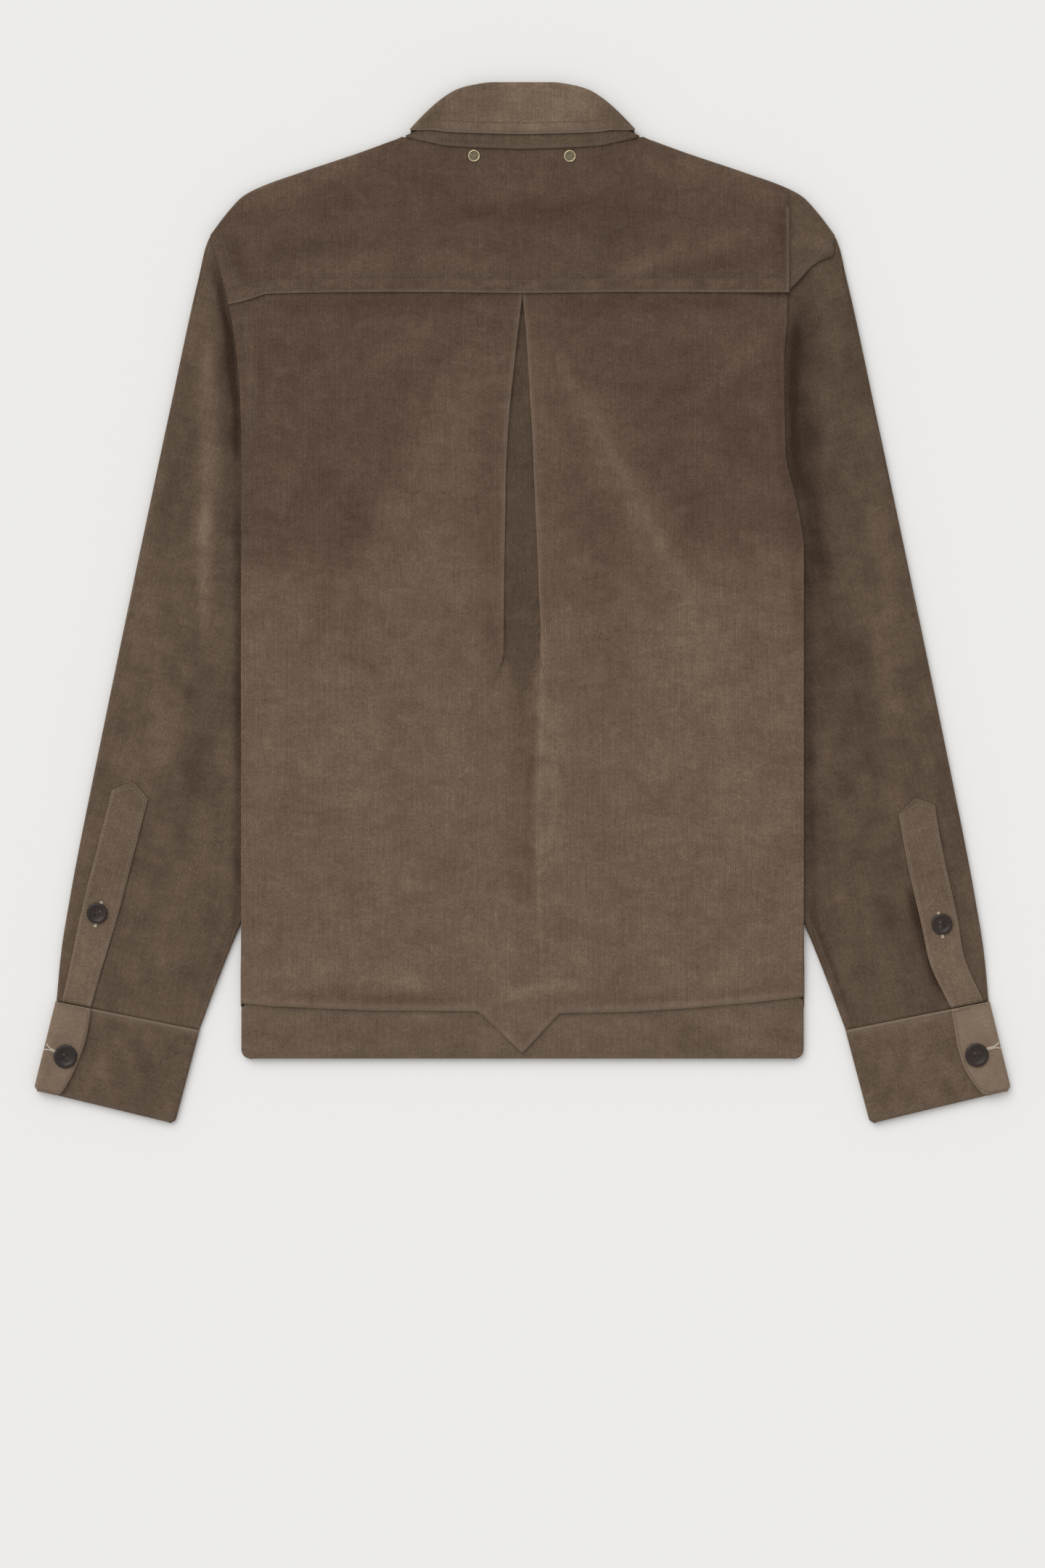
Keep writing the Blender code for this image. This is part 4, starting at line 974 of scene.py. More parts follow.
hem_line = [(x, read(HEM_SEAM, x)) for x in fine((-209, -33.3), 12)] + [(-2.6, -338.4)]
hem_line_right = [(2.4, -338.0), (28, -310.5)]
hem_line_right += [(x, read(HEM_SEAM, x)) for x in fine((34, 209), 12)]
hem_foot = [(-211.0, -335.5), (-209.3, -339.2), (-204, -340.6), (0, -340.4), (200, -340.6),
            (208.5, -339.2), (210.8, -335.5)]
hem_rows = [beside(hem_line, -2.2), beside(hem_line_right, -2.2), hem_foot]
hem_stitches = stitched("hem_stitches", hem_rows, face_over(band, back), brown_thread, sunk=0.2)

# Sleeves
# Each is one piece closed by a seam under the arm, set into the armhole and lying flat on the
# table, its upper half passing under the side of the body. The wales run straight down the arm.

SLEEVE_ROWS = fine((0, 0.02, 0.97, 1), 0.0064)
SLEEVE_UPPER = 44
SLEEVE_TURN = 8
UNDER_APART = 500  # where the cut of its under side is laid out
SLEEVE_LOWER = 16
SLEEVE_LOW = HALF
SLEEVE_FALL = 0.215
BODY_OVER_SLEEVE = ((-345.0, 213.4), (120.0, 213.4), (155.0, 214.2), (226.0, 222.8),
                    (278.0, 236.2), (300.0, 262.0))
# Creases of the sleeves: height, width, path
SLEEVE_CREASES = {
    "left": ((-0.7, 6, ((-252, 200), (-240, 140), (-236, 70))),
             (0.7, 9, ((-262, 150), (-254, 80), (-262, 10))),
             (-0.6, 6, ((-300, 10), (-280, -20), (-250, -30))),
             (0.6, 7, ((-296, -20), (-270, -46), (-246, -60))),
             (-0.6, 5, ((-318, -70), (-296, -84), (-262, -84))),
             (0.5, 8, ((-312, -110), (-284, -126), (-250, -130))),
             (-0.6, 6, ((-262, -170), (-250, -220), (-262, -270))),
             (0.6, 7, ((-244, -190), (-240, -240), (-250, -290))),
             (-0.5, 6, ((-290, -230), (-282, -262), (-290, -290)))),
    "right": ((-0.7, 6, ((246, 190), (242, 130), (232, 60))),
              (0.7, 9, ((262, 160), (258, 90), (268, 20))),
              (-0.6, 6, ((306, -4), (284, -24), (254, -26))),
              (0.6, 7, ((300, -40), (280, -58), (250, -66))),
              (-0.7, 5, ((322, -80), (306, -96), (278, -92))),
              (0.6, 6, ((300, -84), (284, -110), (258, -120))),
              (-0.6, 6, ((258, -160), (252, -210), (262, -260))),
              (0.6, 7, ((276, -180), (272, -230), (282, -280))),
              (-0.5, 5, ((238, -226), (246, -262), (250, -300))),
              (-0.5, 6, ((300, -240), (306, -270), (318, -296)))),
}
# Lighter and darker sweeps of their nap, and painted shadow beside the body's edges and beside the
# right placket: change, width, path
SLEEVE_NAP_AND_SHADE = {
    # first stroke: painted shadow of the body's edge on the sleeve, down from the armhole
    "left": ((-0.50, 4, ((-238, 268), (-230, 240), (-222, 200), (-217, 150), (-216, 90))),
             (-0.20, 2.6, ((-214, -226), (-225, -256), (-240, -296), (-247, -318))),
             (-0.09, 7, ((-258, -100), (-276, -150), (-300, -210), (-318, -262))),
             (0.08, 9, ((-232, -150), (-252, -200), (-272, -250), (-288, -290))),
             (-0.10, 6, ((-318, -266), (-306, -286), (-296, -306))),
             # this and the next: painted shadow of the body's side on the sleeve
             (-0.34, 4, ((-216, 110), (-215, 0), (-215, -110), (-216, -220), (-219, -300))),
             (-0.20, 9, ((-232, 240), (-226, 180), (-222, 100), (-222, 20))),
             (0.22, 6, ((-240, 236), (-236, 170), (-237, 100), (-241, 20), (-240, -30))),
             (-0.10, 8, ((-250, 190), (-254, 110), (-262, 30))),
             (0.10, 10, ((-278, 40), (-290, -20), (-300, -80))),
             (-0.14, 14, ((-236, -30), (-244, -90), (-256, -150), (-266, -220))),
             (0.10, 10, ((-262, -60), (-278, -120), (-284, -180))),
             (-0.10, 10, ((-232, -200), (-238, -250), (-252, -300))),
             (0.10, 6, ((-216, -264), (-228, -290), (-240, -312))),
             (0.14, 4, ((-243, 180), (-241, 90), (-242, 0), (-240, -60))),
             (-0.12, 7, ((-262, 120), (-272, 60), (-282, 0))),
             (-0.12, 6, ((-276, -30), (-262, -60), (-240, -70))),
             (0.08, 8, ((-306, -60), (-290, -76), (-266, -74)))),
    # first stroke: painted shadow of the body's edge on the sleeve, below the yoke
    "right": ((-0.40, 6, ((212, 236), (206, 200), (204, 150), (206, 110), (213, 70))),
              (-0.18, 2.6, ((216, -226), (227, -256), (240, -292), (250, -318))),
              (-0.10, 7, ((238, -120), (250, -170), (266, -220), (280, -270))),
              (0.08, 8, ((270, -110), (286, -160), (296, -210))),
              (-0.10, 18, ((236, 240), (250, 180), (258, 120), (262, 60))),
              # this and the next: painted shadow of the body's side on the sleeve
              (-0.16, 7, ((220, 230), (214, 180), (216, 120), (222, 60), (226, 0))),
              (-0.26, 5, ((214, 80), (217, 0), (217, -110), (219, -220), (224, -290))),
              (-0.16, 12, ((224, 200), (220, 120), (228, 40), (232, -40), (236, -120))),
              (0.12, 10, ((252, 170), (262, 90), (276, 10), (290, -60))),
              (0.16, 9, ((262, 0), (276, -60), (290, -110))),
              (-0.12, 10, ((250, -20), (262, -90), (276, -150))),
              (0.08, 12, ((246, -150), (256, -210), (268, -270))),
              # painted shadow beside the placket's edge
              (-0.36, 3.6, ((290, -205), (297, -235), (304, -262), (313, -286), (323, -308))),
              (0.16, 4, ((225, -278), (236, -300), (246, -318)))),
}
SLEEVE_SHADE = {"left": 0.78, "right": 0.675}


def above_cuff(x, y):
    """Distance up the sleeve from its cuff seam."""
    return y + 301.2 + 22.0 / 108.3 * (353.0 - abs(x))


def sleeve_high(x, y):
    """Middle of the sleeve's upper wall: it swells clear of the body and the cuff."""
    clear = smooth((abs(x) - eased(BODY_OVER_SLEEVE, y) - 3) / 26)
    return 3.15 + 1.9 * clear * smooth((above_cuff(x, y) - 6) / 45)


def sleeve_point(name, column, row):
    """Round the flattened tube: upper wall inwards, inner turn, lower wall, outer turn."""
    share = SLEEVE_ROWS[row]
    outer = (eased(SLEEVE_EDGES, share, 1), eased(SLEEVE_EDGES, share, 2))
    inner = (eased(SLEEVE_EDGES, share, 3), eased(SLEEVE_EDGES, share, 4))
    width = math.dist(outer, inner)
    ends = [(sleeve_high(*edge) - SLEEVE_LOW) / 2 for edge in (outer, inner)]
    start = HALF + ends[0]
    stop = width - HALF - ends[1]
    lower = SLEEVE_UPPER + SLEEVE_TURN
    if column <= SLEEVE_UPPER:
        along = mix(start, stop, column / SLEEVE_UPPER)
        z = None
    elif column <= lower:
        turn = math.pi * (column - SLEEVE_UPPER) / SLEEVE_TURN
        along = stop + ends[1] * math.sin(turn)
        z = SLEEVE_LOW + ends[1] * (1 + math.cos(turn))
    elif column <= lower + SLEEVE_LOWER:
        along = mix(stop, start, (column - lower) / SLEEVE_LOWER)
        z = SLEEVE_LOW
    else:
        turn = math.pi * (column - lower - SLEEVE_LOWER) / SLEEVE_TURN
        along = start - ends[0] * math.sin(turn)
        z = SLEEVE_LOW + ends[0] * (1 - math.cos(turn))
    x = mix(outer[0], inner[0], along / width)
    y = mix(outer[1], inner[1], along / width)
    side = SIDES[name]
    if z is None:
        free = smooth(column / 5) * smooth((SLEEVE_UPPER - column) / 5)
        free *= smooth((above_cuff(x, y) - 3) / 14)
        clear = smooth((abs(x) - eased(BODY_OVER_SLEEVE, y) - 1) / 12)
        swell = strokes(SLEEVE_CREASES[name], side * x, y) + 0.5 * drift(x, y, 30, 44, side * 5.3)
        z = sleeve_high(x, y) + swell * free * clear
    return side * x, y, z


def sleeve_cut(column, x, y):
    """Wales run down the arm on both halves of the tube."""
    down = math.atan(SLEEVE_FALL)
    across = abs(x) * math.cos(down) + y * math.sin(down)
    if column > SLEEVE_UPPER + SLEEVE_TURN // 2:
        across += UNDER_APART
    return across, y * math.cos(down) - abs(x) * math.sin(down)


def sleeve_nap_and_shade(name, x, y):
    """Shade of a sleeve: creased and mottled, with painted shadow beside the body and the placket, and
    a paler ridge along the cuff seam, painted highlight with some wear.
    """
    ridge = 0.35 * math.exp(-(above_cuff(x, y) / 2.0) ** 2)
    mottled = 0.14 * drift(x, y, 15, 24, 3.7) + 0.05 * drift(x, y, 6, 9, 8.2)
    return max(0.25, SLEEVE_SHADE[name] + strokes(SLEEVE_NAP_AND_SHADE[name], x, y) + ridge + mottled)


sleeves = {}
for name in SIDES:
    sleeves[name] = cloth("dressed_sleeve_" + name, SLEEVE_UPPER + SLEEVE_LOWER + 2 * SLEEVE_TURN,
                          len(SLEEVE_ROWS) - 1, lambda i, j: sleeve_point(name, i, j),
                          lambda i, j, x, y: sleeve_cut(i, x, y), BACK_WALL, closed=True,
                          nap_and_shade=lambda x, y: sleeve_nap_and_shade(name, x, y))
    dress(sleeves[name], needlecord, "corduroy", "sleeve_" + name)

# Sleeve plackets
# A strip with a pointed top finishes the slit above each cuff, edge-stitched round, with a stitched
# box under its point.

# Its foot and its point, as if on the right
PLACKETS = {"left": ((337.7, -303.8), (294.5, -135.6)),
            "right": ((337.3, -304.2), (297.3, -147.7))}
PLACKET_NARROW = {"left": 11.2, "right": 12.5}
PLACKET_WIDE = 14.0
# How far the strip bows in along its length, and once more near its foot
PLACKET_BOW = {"left": 0.0, "right": 5.0}
PLACKET_KINK = {"left": 0.0, "right": 3.6}
PLACKET_ROWS = fine((0, 0.945, 1), 0.018)
PLACKET_COLUMNS = 12
PLACKET_LIFT = 1.6


def placket_height(x, y):
    """Middle of the strip's wall, lying on the sleeve."""
    return sleeve_high(x, y) + PLACKET_LIFT


def placket_point(name, column, row):
    """A strip up the sleeve, coming to a point."""
    low, high = PLACKETS[name]
    share = PLACKET_ROWS[row]
    half = mix(PLACKET_NARROW[name], PLACKET_WIDE, smooth(share / 0.5))
    half *= min(1.0, (1.004 - share) / 0.059)
    length = math.dist(low, high)
    across = ((high[1] - low[1]) / length, -(high[0] - low[0]) / length)
    bend = PLACKET_BOW[name] * math.sin(math.pi * share) ** 0.8
    bend += PLACKET_KINK[name] * math.exp(-((share - 0.22) / 0.15) ** 2)
    offset = (column / PLACKET_COLUMNS * 2 - 1) * half - bend
    x = mix(low[0], high[0], share) + across[0] * offset
    y = mix(low[1], high[1], share) + across[1] * offset
    if row == 0:
        y = -above_cuff(x, 0) + GAP
    return SIDES[name] * x, y, placket_height(x, y) + 0.25 * drift(x, y, 9, 16, 4.4)


def placket_cut(name, column, row):
    """The strip laid straight, its wales along it."""
    low, high = PLACKETS[name]
    across = (column / PLACKET_COLUMNS * 2 - 1) * PLACKET_WIDE
    return across, PLACKET_ROWS[row] * math.dist(low, high)


plackets = {}
for name in SIDES:
    plackets[name] = cloth("dressed_placket_" + name, PLACKET_COLUMNS, len(PLACKET_ROWS) - 1,
                           lambda i, j: placket_point(name, i, j),
                           lambda i, j, x, y: placket_cut(name, i, j), BACK_WALL,
                           nap_and_shade=lambda x, y: 0.95 + 0.22 * smooth((-215 - y) / 70),
                           wear_and_highlight=lambda i, j, x, y: 0.4 * (i in (0, PLACKET_COLUMNS)))
    dress(plackets[name], needlecord, "corduroy", "sleeve_placket_" + name)

# Paler cotton: topstitching that shows as light specks along the strip's edges
pale_thread = cotton("pale_cotton_thread", "8b7765", "3a2c23")


def across_placket(name, row, *shares):
    """Points of the strip's middle surface from one edge to the other."""
    ends = [placket_point(name, edge, row)[:2] for edge in (0, PLACKET_COLUMNS)]
    return [tuple(mix(a, b, share) for a, b in zip(*ends)) for share in shares]


for name, side in SIDES.items():
    last, inset = len(PLACKET_ROWS) - 1, 1 / PLACKET_COLUMNS
    rim = [[across_placket(name, row, share)[0] for row in range(2, last - 3, 2)]
           for share in (inset, 1 - inset)]
    tip, below = [placket_point(name, PLACKET_COLUMNS // 2, row)[:2] for row in (last, last - 12)]
    crown = tuple(mix(a, b, 0.13) for a, b in zip(tip, below))
    rim = [edge + [crown] for edge in rim]
    box = across_placket(name, last - (8 if name == "left" else 9), 0.1, 0.5, 0.9)
    placket_stitches = stitched("placket_stitches_" + name, [*rim, box], face_over(plackets[name]),
                                pale_thread, width=0.65, sunk=0.08)
    inner = [(side * eased(SLEEVE_EDGES, share, 3), eased(SLEEVE_EDGES, share, 4))
             for share in fine((0.86, 0.995), 0.02)]
    sleeve_stitches = stitched("sleeve_stitches_" + name, [beside(inner, side * 5.0)],
                               face_over(sleeves[name]), brown_thread, width=0.6)

# Cuffs
# A doubled band wraps each wrist and laps over itself for the button. It is cut across the wales,
# so they run round the wrist.

CUFF_WALL = 1.8
CUFF_SEAM_OUTER = (353.5, -301.5)
CUFF_SEAM_INNER = (244.5, -323.4)
CUFF_END_OUTER = (370.0, -368.2)
CUFF_END_INNER = (263.2, -394.0)
CUFF_LAP = 0.26
CUFF_TUCK = 0.12
CUFF_TOP = 3.9
CUFF_LOW = CUFF_WALL / 2
CUFF_TAB = CUFF_TOP + CUFF_WALL + GAP
CUFF_ROWS = 26
CUFF_UNDER = 34
CUFF_BACK = 24
CUFF_OVER = 11
CUFF_TURN = 8
# Edge of the lapped end: share of the way down, distance in from the fold
TAB_EDGE = {"left": ((0.0, 27.9), (0.34, 29.6), (0.59, 28.0), (0.78, 25.6), (0.9, 23.4),
                     (1.0, 20.4)),
            "right": ((0.0, 30.2), (0.19, 30.9), (0.41, 32.2), (0.63, 31.4), (0.83, 27.3),
                      (1.0, 22.0))}
CUFF_LENGTH = 72


def cuff_path():
    """From the tucked end round to the lapped end: distance across, height, how far round."""
    width = math.dist(CUFF_SEAM_OUTER, CUFF_SEAM_INNER)
    inner, outer = (CUFF_TOP - CUFF_LOW) / 2, (CUFF_TAB - CUFF_LOW) / 2
    stop, start = width - CUFF_LOW - inner, CUFF_LOW + outer
    path = [(mix(CUFF_TUCK * width, stop, i / CUFF_UNDER), CUFF_TOP)
            for i in range(CUFF_UNDER + 1)]
    turns = [math.pi * i / CUFF_TURN for i in range(1, CUFF_TURN + 1)]
    path += [(stop + inner * math.sin(turn), CUFF_LOW + inner * (1 + math.cos(turn)))
             for turn in turns]
    path += [(mix(stop, start, i / CUFF_BACK), CUFF_LOW) for i in range(1, CUFF_BACK + 1)]
    path += [(start - outer * math.sin(turn), CUFF_LOW + outer * (1 - math.cos(turn)))
             for turn in turns]
    path += [(mix(start, CUFF_LAP * width, i / CUFF_OVER), CUFF_TAB)
             for i in range(1, CUFF_OVER + 1)]
    gone, out = 0.0, []
    for i, spot in enumerate(path):
        gone += math.dist(spot, path[i - 1]) if i else 0
        out.append((spot[0], spot[1], gone))
    return width, out


CUFF_WIDTH, CUFF_PATH = cuff_path()


def on_cuff(share, down):
    """A spot of the flat cuff, by its share across from the outer fold and its share down."""
    seam = [mix(a, b, share) for a, b in zip(CUFF_SEAM_OUTER, CUFF_SEAM_INNER)]
    end = [mix(a, b, share) for a, b in zip(CUFF_END_OUTER, CUFF_END_INNER)]
    return mix(seam[0], end[0], down), mix(seam[1], end[1], down)


def cuff_point(name, column, row):
    """Point of the cuff: round it at column and down to its end at row, with rounded corners."""
    side = SIDES[name]
    across, z, _ = CUFF_PATH[column]
    share = across / CUFF_WIDTH
    down = row / CUFF_ROWS
    over = column - (len(CUFF_PATH) - 1 - CUFF_OVER)
    if over > 0:
        start = CUFF_PATH[-1 - CUFF_OVER][0]
        share = mix(start, eased(TAB_EDGE[name], down), over / CUFF_OVER) / CUFF_WIDTH
        down = min(down, 1 - 0.025 * smooth((over - CUFF_OVER + 2) / 2))
    ends = smooth((abs(share - 0.5) - 0.38) / 0.1) * (row == CUFF_ROWS)
    share += (0.025 if share < 0.5 else -0.025) * ends
    x, y = on_cuff(share, down)
    swell = 0.0
    if column < CUFF_UNDER:
        swell = 0.5 * drift(x, y, 16, 20, side * 3.3) * smooth((across - 34) / 12)
    return side * x, y, z + swell * smooth(row / 3) * smooth((CUFF_ROWS - row) / 3)


# the lapped end's higher tone is painted light, as that end is turned to the light
CUFF_SHADE = {"left": 0.76, "right": 0.90}
TAB_SHADE = {"left": 1.12, "right": 1.22}
CUFF_NAP = {
    "left": ((-0.09, 9, ((-268, -330), (-276, -356), (-284, -384))),
             (0.07, 12, ((-312, -330), (-320, -352), (-324, -376)))),
    "right": ((-0.16, 9, ((250, -330), (260, -356), (272, -386))),
              (0.06, 12, ((284, -330), (292, -352), (298, -372))),
              (-0.08, 8, ((316, -328), (322, -352), (330, -374)))),
}
# how far the lapped end goes to the pale colour: painted light with some wear
TAB_WEAR_AND_LIGHT = {"left": 0.30, "right": 0.38}


def cuff_nap(name, x, y):
    """Shade of a cuff: the lapped end is turned to the light."""
    (ax, ay), (bx, by), (cx, cy) = CUFF_SEAM_OUTER, CUFF_SEAM_INNER, CUFF_END_OUTER
    bx, by, cx, cy, x_in, y_in = bx - ax, by - ay, cx - ax, cy - ay, abs(x) - ax, y - ay
    turn = bx * cy - by * cx
    across = (x_in * cy - y_in * cx) / turn * CUFF_WIDTH
    down = (bx * y_in - by * x_in) / turn
    tab = smooth((eased(TAB_EDGE[name], down) + 0.4 - across) / 1.2)
    mottled = 0.14 * drift(x, y, 14, 18, 6.1) + 0.08 * drift(x, y, 5, 6, 2.1)
    return mix(CUFF_SHADE[name] + strokes(CUFF_NAP[name], x, y), TAB_SHADE[name], tab) + mottled


def cuff_wear_and_highlight(name, column, row):
    """Paled by wear and painted highlight: the lapped end most, as it is turned to the light, and the
    seam and end a little.
    """
    over = smooth((column - len(CUFF_PATH) + 1 + CUFF_OVER + CUFF_TURN) / 4)
    edge = 0.6 * math.exp(-(row / 0.9) ** 2) + 0.2 * math.exp(-((CUFF_ROWS - row) / 0.8) ** 2)
    return max(TAB_WEAR_AND_LIGHT[name] * over, edge)


cuffs = {}
for name in SIDES:
    cuffs[name] = cloth("dressed_cuff_" + name, len(CUFF_PATH) - 1, CUFF_ROWS,
                        lambda i, j: cuff_point(name, i, j),
                        lambda i, j, x, y: (j / CUFF_ROWS * CUFF_LENGTH, CUFF_PATH[i][2]), CUFF_WALL,
                        nap_and_shade=lambda x, y: cuff_nap(name, x, y),
                        wear_and_highlight=lambda i, j, x, y: cuff_wear_and_highlight(name, i, j))
    dress(cuffs[name], needlecord, "corduroy", "cuff_" + name)

for name, side in SIDES.items():
    seam, end = [[(share, down) for share in fine((start, 0.985), 0.05)]
                 for start, down in ((0.14, 0.03), (0.27, 0.968))]
    lap = [(0.015, 3.2), (0.015, 12), (0.02, 24.0)]
    lap += [(down, eased(TAB_EDGE[name], down) - 2.1) for down in fine((0.05, 0.9), 0.1)]
    lap += [(0.965, 16.5), (0.975, 10), (0.975, 3.2)]
    lap = [(across / CUFF_WIDTH, down) for down, across in lap]
    rows = [[(side * x, y) for x, y in (on_cuff(*spot) for spot in row)]
            for row in (seam, end, lap)]
    cuff_stitches = stitched("cuff_stitches_" + name, rows, face_over(cuffs[name]), brown_thread,
                             width=0.6)

# Collar
# The leaf is two layers turned over at the top: its back shows above the stand and its front lies
# under the garment, running to two points. The stand is a strip round the neck, seamed to the yoke.

COLLAR_FOLD = ((0.0, 394.0), (22.0, 394.0), (38.5, 391.8), (49.5, 388.6), (60.5, 382.0),
               (71.5, 372.6), (77.0, 367.1), (82.2, 361.6), (84.7, 358.6))
LEAF_EDGE = ((0.0, 354.1), (35.5, 355.0), (58.6, 356.1), (68.5, 357.4), (84.7, 357.2))
LEAF_FRONT_EDGE = ((0.0, 335.0), (48.0, 262.0), (84.7, 350.0))
LEAF_COLUMNS = fine((-84.7, -48.0, 0.0, 48.0, 84.7), 2.5)
COLLAR_PITCH = 1.4  # from one layer's middle to the next
LEAF_LOW = HALF
STAND_LOW = LEAF_LOW + COLLAR_PITCH
STAND_HIGH = BACK_HEIGHT + 0.4 + COLLAR_PITCH
LEAF_HIGH = STAND_HIGH + COLLAR_PITCH
LEAF_BACK = 16
LEAF_TURN = 8
LEAF_FRONT = 16
STAND_HALF_WIDTH = 88.5
STAND_TIP = ((77.0, 360.8), (79.5, 357.2), (88.5, 353.2))
STAND_SPANS = 64
STAND_TURN = 6
STAND_ROWS = 12
INSIDE_APART = 400  # where the cut of the hidden half is laid out
COLLAR_NAP = (
    (0.26, 14, ((-30, 378), (10, 384), (44, 376), (62, 366))),
    (0.14, 9, ((-66, 366), (-40, 362), (0, 361), (50, 361))),
    (-0.22, 7, ((-80, 358), (-70, 366), (-60, 376))),
    (-0.16, 7, ((80, 358), (70, 368), (60, 378))),
)


def leaf_point(column, row):
    """Down the collar leaf: back edge up to the fold, round it and down the front side."""
    x = LEAF_COLUMNS[column]
    edge = eased(LEAF_EDGE, abs(x))
    fold = eased(COLLAR_FOLD, abs(x))
    radius = (LEAF_HIGH - LEAF_LOW) / 2
    reach = min(radius, max(0.4, fold - edge - 0.8))
    centre = fold - HALF - reach
    if row <= LEAF_BACK:
        swell = 0.35 * drift(x, row, 22, 9, 8.8) * smooth((84 - abs(x)) / 12)
        return x, mix(edge, centre, row / LEAF_BACK), LEAF_HIGH + swell * smooth((row - 1) / 3)
    if row <= LEAF_BACK + LEAF_TURN:
        turn = math.pi * (row - LEAF_BACK) / LEAF_TURN
        return x, centre + reach * math.sin(turn), LEAF_LOW + radius * (1 + math.cos(turn))
    down = (row - LEAF_BACK - LEAF_TURN) / LEAF_FRONT
    return x, mix(centre, read(LEAF_FRONT_EDGE, abs(x)), down), LEAF_LOW


def leaf_nap_and_shade(x, y):
    """Paler towards the fold, and painted shade where the front part shows in the gap at the ends."""
    low = smooth((eased(LEAF_EDGE, abs(x)) - 0.2 - y) / 0.8)
    return mix(0.98 + strokes(COLLAR_NAP, x, y) + 0.1 * drift(x, y, 12, 9, 1.9), 0.30, low)


def stand_nap_and_shade(x, y):
    """Painted shade under the leaf, paler along the seam."""
    under = smooth((y - eased(LEAF_EDGE, abs(x)) + 4) / 3)
    return 0.73 - 0.04 * under + 0.1 * drift(x, y, 14, 6, 7.1)


def stand_point(column, row):
    """Round the flattened stand: back, side turn, front, side turn."""
    radius = (STAND_HIGH - STAND_LOW) / 2
    end = STAND_HALF_WIDTH - HALF - radius
    turned_at = STAND_SPANS + STAND_TURN
    if column <= STAND_SPANS:
        x, z = mix(-end, end, column / STAND_SPANS), STAND_HIGH
    elif column <= turned_at:
        turn = math.pi * (column - STAND_SPANS) / STAND_TURN
        x, z = end + radius * math.sin(turn), STAND_LOW + radius * (1 + math.cos(turn))
    elif column <= turned_at + STAND_SPANS:
        x, z = mix(end, -end, (column - turned_at) / STAND_SPANS), STAND_LOW
    else:
        turn = math.pi * (column - turned_at - STAND_SPANS) / STAND_TURN
        x, z = -end - radius * math.sin(turn), STAND_LOW + radius * (1 - math.cos(turn))
    at_front = turned_at < column <= turned_at + STAND_SPANS
    low = front_neck(x) if at_front else eased(NECK_SEAM, abs(x))
    if abs(x) < STAND_TIP[0][0]:
        high = min(384.0, eased(COLLAR_FOLD, abs(x)) - 6.3)
    else:
        high = read(STAND_TIP, abs(x))
    return x, mix(low, high, row / STAND_ROWS), z


leaf = cloth("dressed_collar_leaf", len(LEAF_COLUMNS) - 1, LEAF_BACK + LEAF_TURN + LEAF_FRONT,
             leaf_point, lambda i, j, x, y: (x + INSIDE_APART * (j > LEAF_BACK + LEAF_TURN // 2), y),
             BACK_WALL, nap_and_shade=leaf_nap_and_shade, wear_and_highlight=lambda i, j, x, y: 0.45 * math.exp(-(j / 0.9) ** 2))
dress(leaf, needlecord, "corduroy", "collar_leaf")
# the stand's lowest row takes the pale edge colour: painted highlight along its seam
stand = cloth("dressed_collar_stand", 2 * STAND_SPANS + 2 * STAND_TURN, STAND_ROWS, stand_point,
              lambda i, j, x, y: (x + INSIDE_APART * (i > STAND_SPANS + STAND_TURN // 2), y),
              BACK_WALL, closed=True, nap_and_shade=stand_nap_and_shade, wear_and_highlight=lambda i, j, x, y: 0.3 * (j == 0))
dress(stand, needlecord, "corduroy", "collar_stand")

leaf_lines = [[(x, eased(LEAF_EDGE, abs(x)) + up) for x in fine((-reach, reach), 8)]
              for up, reach in ((2.0, 81.5), (8.6, 77.0))]
stand_line = [(x, eased(NECK_SEAM, abs(x)) + 1.9) for x in fine((-84, 84), 8)]
collar_stitches = stitched("collar_stitches", leaf_lines, face_over(leaf), brown_thread, width=0.75)
stand_stitches = stitched("stand_stitches", [stand_line], face_over(stand), brown_thread)

# Buttons
# Turned from dark horn, dished in the middle inside a rounded rim, with four holes. Those on the
# cuffs and plackets are sewn through with dark thread; six more close the hidden fronts.

CUFF_BUTTON = 9.0
PLACKET_BUTTON = 8.0
BUTTON_THICKNESS = 1.9
CUFF_BUTTON_AT = {"left": (-345.5, -342.8), "right": (343.5, -341.8)}
PLACKET_BUTTON_AT = {"left": (-321.5, -234.6), "right": (317.1, -242.8)}


def lathe(name, profile, at, steps=48):
    """A piece spun about an upright axis from its profile of radius and height, in mm."""
    spun = bmesh.new()
    spots = [spun.verts.new((radius * MM, 0, height * MM)) for radius, height in profile]
    edges = [spun.edges.new(pair) for pair in zip(spots, spots[1:])]
    if profile[0][0] > 0:
        edges.append(spun.edges.new((spots[-1], spots[0])))
    bmesh.ops.spin(spun, geom=spots + edges, angle=math.tau, steps=steps, axis=(0, 0, 1),
                   cent=(0, 0, 0), use_merge=True, use_duplicate=False)
    bmesh.ops.remove_doubles(spun, verts=spun.verts, dist=0.000005)
    bmesh.ops.recalc_face_normals(spun, faces=spun.faces)
    bmesh.ops.translate(spun, verts=spun.verts, vec=[value * MM for value in at])
    return put_down(spun, name)


# Half of a button's section: share of its radius, share of its thickness
BUTTON_SECTION = ((0, 0.60), (0.40, 0.61), (0.58, 0.66), (0.68, 0.86), (0.74, 0.97), (0.82, 1),
                  (0.90, 0.96), (0.96, 0.82), (0.99, 0.62), (0.985, 0.42), (0.93, 0.22),
                  (0.80, 0.08), (0.6, 0), (0, 0))


def button_profile(radius):
    """A dished button: flat back, rounded edge, raised rim and a shallow well."""
    return [(radius * out, BUTTON_THICKNESS * up) for out, up in BUTTON_SECTION]


